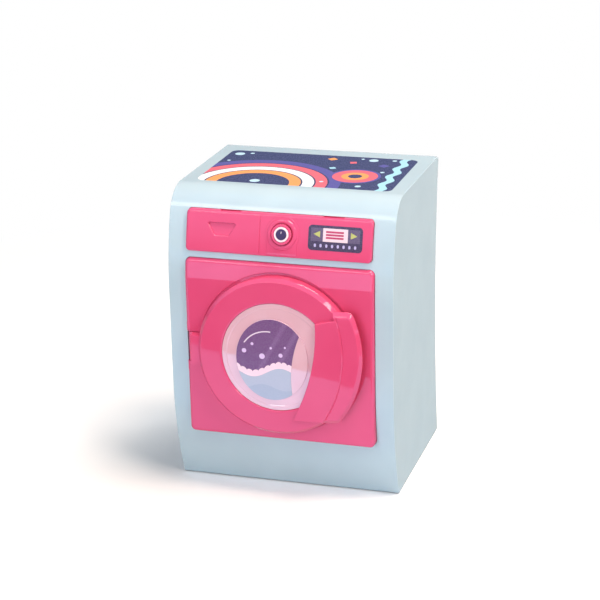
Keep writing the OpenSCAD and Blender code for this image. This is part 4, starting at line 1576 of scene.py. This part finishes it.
@dataclass
class Wash:
    """The tub behind the loading hole and the drum that turns in it."""

    finishes: Finishes
    centre_z: float
    drum_r: float = 44.0
    drum_front: float = 66.0
    drum_len: float = 86.0
    mouth_r: float = 40.0
    wall: float = 1.6
    tub_in: float = 46.5
    tub_front: float = 69.3
    tub_wall: float = 2.0
    tub_gap: float = 3.0
    barrel_wall: float = 1.6
    flange_r: float = 54.0
    flange_edge: float = 0.6
    tub_screw_r: float = 51.4
    bush: Pair = (5.0, 7.4)
    bush_len: float = 6.0
    shaft: Pair = (3.0, 12.0)
    hub: Pair = (6.0, 1.6)
    lifter: Pair = (6.0, 4.4)
    lifter_edge: float = 1.4
    lifter_start: float = 8.0
    lifters: int = 3
    end_holes: int = 8
    end_ring_r: float = 26.0
    end_hole_r: float = 2.4
    side_hole_r: float = 2.2
    side_rows: int = 4
    side_holes: int = 6
    side_start: float = 18.0
    side_pitch: float = 17.0

    @property
    def axis(self) -> Matrix:
        """The drum's frame, z out of the front."""
        return facing_front(0, self.centre_z)

    def tub(self) -> None:
        """The fixed tub: flange, barrel and an end with a collar for the bush."""
        end = self.drum_front - self.drum_len - self.tub_gap
        behind = end - self.tub_wall
        front, seat = self.tub_front, self.tub_front - self.tub_wall
        outside, edge = self.tub_in + self.barrel_wall, self.flange_edge
        bore, collar = self.bush
        section = [*arc((self.tub_in + edge, front - edge), edge, 180, 90, 3), (self.flange_r, front),
                   (self.flange_r, seat), (outside, seat), (outside, behind), (collar, behind),
                   (collar, behind - self.bush_len), (bore, behind - self.bush_len), (bore, end),
                   (self.tub_in, end)]
        seats = [out_from(self.axis, self.tub_screw_r, 45 + 90 * quarter) for quarter in range(4)]
        holes = [bar(SCREW.hole, front - 4, front + 1, place) for place in seats]
        tub = carve(turned(section, self.axis, 128, closed=True), holes, Carve.CUT)
        set_down(tub, "wash_tub", self.finishes.white, Body.CABINET, "tub")

    def drum_lifters(self) -> list[Shape]:
        """The lifters that stand in the drum's barrel."""
        tall, wide = self.lifter
        inner = self.drum_r - self.wall
        length = self.drum_len - self.lifter_start - 1
        lifters = []
        for i in range(self.lifters):
            turn = self.axis @ Matrix.Rotation(math.pi / 2 + math.tau * i / self.lifters, 4, "Z")
            lifter = block((tall + 0.4, wide, length),
                           (inner - tall / 2 + 0.2, 0, self.drum_front - self.lifter_start - length / 2))
            round_edges(lifter, edges_where(lifter, lambda p: p.x < inner - tall + 0.1), self.lifter_edge, 4)
            lifters.append(placed(lifter, turn))
        return lifters

    def drum_holes(self) -> list[Shape]:
        """The holes of the drum: a ring of them in its end and rows of them round its barrel."""
        back = self.drum_front - self.drum_len
        step = 360 / self.end_holes
        places = [out_from(self.axis, self.end_ring_r, step / 2 + step * i) for i in range(self.end_holes)]
        holes = [bar(self.end_hole_r, back - 1, back + 4, place) for place in places]
        step = 360 / self.side_holes
        sideways = Matrix.Rotation(math.pi / 2, 4, "Y")
        for row in range(self.side_rows):
            middle = Matrix.Translation((0, 0, self.drum_front - self.side_start - self.side_pitch * row))
            for i in range(self.side_holes):
                turn = Matrix.Rotation(math.radians(step / 2 + step * i), 4, "Z") @ sideways
                place = self.axis @ (middle @ turn)
                holes.append(bar(self.side_hole_r, self.drum_r - 4, self.drum_r + 4, place))
        return holes

    def drum(self) -> None:
        """The drum: a barrel with a rolled mouth, rows of holes and three lifters."""
        front, back = self.drum_front, self.drum_front - self.drum_len
        inner = self.drum_r - self.wall
        section = [*arc((self.mouth_r + 0.8, front - 0.8), 0.8, 180, 90, 4),
                   *arc((self.drum_r - 1, front - 1), 1, 90, 0, 4),
                   (self.drum_r, back), (0, back), (0, back + self.wall), (inner, back + self.wall),
                   (inner, front - self.wall), (self.mouth_r, front - self.wall)]
        (hub_r, hub_len), (shaft_r, shaft_len) = self.hub, self.shaft
        axle = [bar(hub_r, back - hub_len, back + 0.05, self.axis),
                bar(shaft_r, back - shaft_len, back, self.axis)]
        drum = carve(turned(section, self.axis, 128, closed=True), [*self.drum_lifters(), *axle], Carve.JOIN)
        drum = carve(drum, self.drum_holes(), Carve.CUT)
        set_down(drum, "wash_drum", self.finishes.drum, Body.DRUM, "drum")

    def build(self) -> None:
        """Builds the tub and the drum."""
        self.tub()
        self.drum()


# ---------------------------------------------------------------- studio

SENSOR = 36.0                  # width of the camera's sensor, in mm
FLOOR_HALF = 30.0              # half the width of the floor, in metres


@dataclass
class Studio:
    """A white sweep, soft lamps and the camera.

    The table is lit by the lamps and carries the toy's shadow.  What the glossy plastic mirrors of it
    is a white sheet that ends a hand's breadth in front of the toy, a darker room past it, and the
    pale far wall.

    Attributes:
        turn: How far the camera stands round to the right, in degrees.
        rise: How high it looks down from, in degrees.
        roll: Its roll, in degrees.
        reach: Distance from what it looks at, in mm.
        target: What it looks at, in mm in the cabinet's coordinates.
        lens: Focal length on a sensor as wide as SENSOR.
        sheet: Distance from the toy to the sheet's near edge, in mm.
        wall: Distance to where the pale far wall starts, in metres.
        fade: Where the lit table starts and ends to fade into plain white, in metres from the toy's middle.
        shade: Colour of the toy's own shade on the sheet, in the gloss.
        shade_reach: Where that shade starts and ends to fade, in metres in front of the toy.
        mirrored: Cool tint of what the gloss mirrors.
        sheet_light: How bright the sheet looks in the gloss.
        room_light: The same for the room past it.
        wall_light: The same for the far wall.
        window_light: The same for the high windows in front.
        window_rise: Sine of the angle over the horizon where the windows start, and where they are full.
        window_back: Sine of the angle behind the toy where they have faded out.
        window_dim: How bright it looks under the windows, and what share of them is left behind the toy.
        ambient: Strength of the even light from all round.
    """

    turn: float = 17.18
    rise: float = 19.12
    roll: float = -1.2
    reach: float = 1270.5
    target: Triple = (-7.8, 0.0, 108.7)
    lens: float = 112.42
    sheet: float = 276.0
    wall: float = 1.6
    fade: Pair = (0.35, 0.6)
    shade: Colour = (0.3, 0.32, 0.33, 1.0)
    shade_reach: Pair = (0.06, 0.12)
    mirrored: Colour = (0.35, 0.75, 1.25, 1.0)
    sheet_light: float = 1.7
    room_light: float = 0.12
    wall_light: float = 2.4
    window_light: float = 1.2
    window_rise: Pair = (0.02, 0.2)
    window_back: float = 0.3
    window_dim: Pair = (0.15, 0.12)
    ambient: float = 0.18

    @property
    def ahead(self) -> Vector:
        """The camera's view direction."""
        a, e = math.radians(self.turn), math.radians(self.rise)
        return Vector((-math.sin(a) * math.cos(e), math.cos(a) * math.cos(e), -math.sin(e)))

    def camera(self) -> None:
        """Sets up the camera."""
        look = self.ahead
        level = Vector((math.cos(math.radians(self.turn)), math.sin(math.radians(self.turn)), 0))
        upright = level.cross(look)
        roll = math.radians(self.roll)
        right = level * math.cos(roll) + upright * math.sin(roll)
        up = upright * math.cos(roll) - level * math.sin(roll)
        place = (Vector(self.target) + HOME - look * self.reach) * MM
        data = bpy.data.cameras.new("camera")
        data.sensor_width = SENSOR
        data.lens = self.lens
        data.clip_start = 0.01
        camera = bpy.data.objects.new("camera", data)
        bpy.context.scene.collection.objects.link(camera)
        turned_to = Matrix((right, up, -look)).transposed().to_4x4()
        camera.matrix_world = Matrix.Translation(place) @ turned_to
        bpy.context.scene.camera = camera

    def floor(self) -> None:
        """The pale floor."""
        bm = bmesh.new()
        bmesh.ops.create_grid(bm, x_segments=1, y_segments=1, size=FLOOR_HALF)
        floor = loose_object("floor", bm)
        floor.data.materials.append(self.floor_finish())

    def floor_finish(self) -> bpy.types.Material:
        """Matt white sweep: lit and shadowed by the lamps, white to the camera where they reach it."""
        mix = Recipe("white sweep")
        toward = -self.ahead
        toward.z = 0
        toward.normalize()
        along = mix.add("VectorMath", {0: mix.place, 1: toward}, operation="DOT_PRODUCT").outputs["Value"]
        along = mix.math("SUBTRACT", along, HOME.dot(toward) * MM)
        away = mix.add("VectorMath", {0: mix.place}, operation="LENGTH").outputs["Value"]
        white = (1, 1, 1, 1)
        paper = mix.add("BsdfDiffuse", {"Color": linear("#dcdcdc")}).outputs[0]
        lit = mix.add("BsdfDiffuse", {"Color": white}).outputs[0]
        plain = mix.add("Emission", {"Color": white}).outputs[0]
        seen = mix.add("MixShader", {0: mix.spread(away, 0, 1, *self.fade), 1: lit, 2: plain}).outputs[0]
        cast = mix.blend(mix.spread(along, 0, 1, *self.shade_reach), self.shade, self.mirrored)
        sheet = mix.add("Emission", {"Color": cast, "Strength": self.sheet_light}).outputs[0]
        room = mix.add("Emission", {"Color": self.mirrored, "Strength": self.room_light}).outputs[0]
        wall = mix.add("Emission", {"Color": self.mirrored, "Strength": self.wall_light}).outputs[0]
        at_wall = mix.math("GREATER_THAN", along, self.wall)
        beyond = mix.add("MixShader", {0: at_wall, 1: room, 2: wall}).outputs[0]
        past = mix.math("GREATER_THAN", along, self.sheet * MM)
        gloss = mix.add("MixShader", {0: past, 1: sheet, 2: beyond}).outputs[0]
        path = mix.add("LightPath").outputs
        other = mix.add("MixShader", {0: path["Is Glossy Ray"], 1: paper, 2: gloss}).outputs[0]
        shown = mix.add("MixShader", {0: path["Is Camera Ray"], 1: other, 2: seen}).outputs[0]
        mix.tree.nodes.remove(mix.shader)
        mix.tree.links.new(shown, mix.out.inputs[0])
        return mix.material

    def world(self) -> None:
        """White to the camera, even soft light to the toy, and in its gloss a pale window over a dim room."""
        world = bpy.data.worlds.new("studio")
        bpy.context.scene.world = world
        world.use_nodes = True
        tree = world.node_tree
        tree.nodes.clear()
        path = add_node(tree, "LightPath").outputs
        way = add_node(tree, "SeparateXYZ", {0: add_node(tree, "TexCoord").outputs["Generated"]}).outputs
        sill, head = self.window_rise
        under, behind = self.window_dim
        height = add_node(tree, "MapRange", {"Value": way["Z"], "From Min": sill, "From Max": head,
                                             "To Min": under, "To Max": self.window_light}).outputs[0]
        front = add_node(tree, "MapRange", {"Value": way["Y"], "From Min": self.window_back, "From Max": 0.0,
                                            "To Min": behind, "To Max": 1.0}).outputs[0]
        strength = add_node(tree, "Math", {0: height, 1: front}, operation="MULTIPLY").outputs[0]
        soft = add_node(tree, "Background", {"Color": linear("#f2f7ff"), "Strength": self.ambient}).outputs[0]
        gloss = add_node(tree, "Background", {"Color": self.mirrored, "Strength": strength}).outputs[0]
        plain = add_node(tree, "Background", {"Color": (1, 1, 1, 1), "Strength": 1.0}).outputs[0]
        direct = add_node(tree, "Math", {0: path["Is Camera Ray"], 1: path["Is Transmission Ray"]},
                          operation="MAXIMUM").outputs[0]
        shine = add_node(tree, "MixShader", {0: path["Is Glossy Ray"], 1: soft, 2: gloss}).outputs[0]
        shown = add_node(tree, "MixShader", {0: direct, 1: shine, 2: plain}).outputs[0]
        add_node(tree, "OutputWorld", {"Surface": shown})

    def lamp(self, name: str, place: Triple, size: Pair, power: float,
             colour: str = "#ffffff", mirrored: bool = True) -> None:
        """Adds a soft lamp that looks at the toy.

        Args:
            name: Name of the lamp.
            place: Where it hangs, in metres.
            size: Width and height of its face, in metres.
            power: Its power in watts.
            colour: Colour of its light.
            mirrored: Whether glossy plastic shows it.
        """
        data = bpy.data.lights.new(name, "AREA")
        data.shape = "RECTANGLE"
        data.size, data.size_y = size
        data.energy = power
        data.color = linear(colour)[:3]
        lamp = bpy.data.objects.new(name, data)
        bpy.context.scene.collection.objects.link(lamp)
        aim = Vector((0, 0, 0.1)) - Vector(place)
        lamp.matrix_world = Matrix.Translation(place) @ aim.to_track_quat("-Z", "Y").to_matrix().to_4x4()
        lamp.visible_camera = False
        lamp.visible_glossy = mirrored

    def build(self) -> None:
        """Sets up floor, world, lamps and camera."""
        self.floor()
        self.world()
        self.lamp("main", (0.42, -0.1, 1.3), (0.5, 0.5), 14.0, "#ffecdc")
        self.lamp("key", (1.03, -0.72, 1.08), (0.45, 0.45), 7.0, "#fff4ea")
        self.lamp("fill", (-0.3, -1.5, 0.5), (1.0, 1.0), 11.0, "#f4f8ff", mirrored=False)
        self.lamp("softbox", (-0.39, -0.91, 1.08), (0.45, 0.3), 2.4)
        self.lamp("back", (0.45, 0.78, 1.17), (0.8, 0.8), 9.5, mirrored=False)
        self.lamp("side", (1.17, 0.68, 0.46), (0.8, 0.8), 2.8, mirrored=False)
        self.camera()
        bpy.context.scene.view_settings.view_transform = "Standard"


# ---------------------------------------------------------------- hidden pieces and assembly

def dress_hidden(finishes: Finishes) -> None:
    """Gives the construction nodes that stay a finish of their own."""
    steel = ("fascia_screws", "surround_screws", "tub_screws", "knob_screw", "click_spring_screw",
             "drum_screw", "knob_washer", "drum_washer", "hinge_pin")
    dressed = {name: finishes.screw.material for name in steel}
    dressed |= {"click_spring": finishes.spring, "click_wheel": finishes.white.material,
                "drum_bush": finishes.bush}
    for name, finish in dressed.items():
        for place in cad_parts[name].material_slots:
            place.material = finish
        log.info("%s: dressed", name)


def main() -> None:
    """Builds the studio and then the toy, from the casing to the drum."""
    logging.basicConfig(level=logging.INFO, format="%(name)s %(message)s")
    Studio().build()
    finishes = Finishes()
    door_z = (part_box("drum")[0].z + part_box("drum")[1].z) / 2 / MM - HOME.z
    fascia = Fascia(finishes)
    surround = Surround(finishes, door_z)
    Cabinet(finishes).build([surround.hole(), fascia.hole()])
    fascia.build()
    Knob(finishes, fascia.seat(*fascia.knob)).build()
    surround.build()
    Door(finishes, door_z).build()
    Wash(finishes, door_z).build()
    dress_hidden(finishes)


if __name__ == "__main__":
    main()
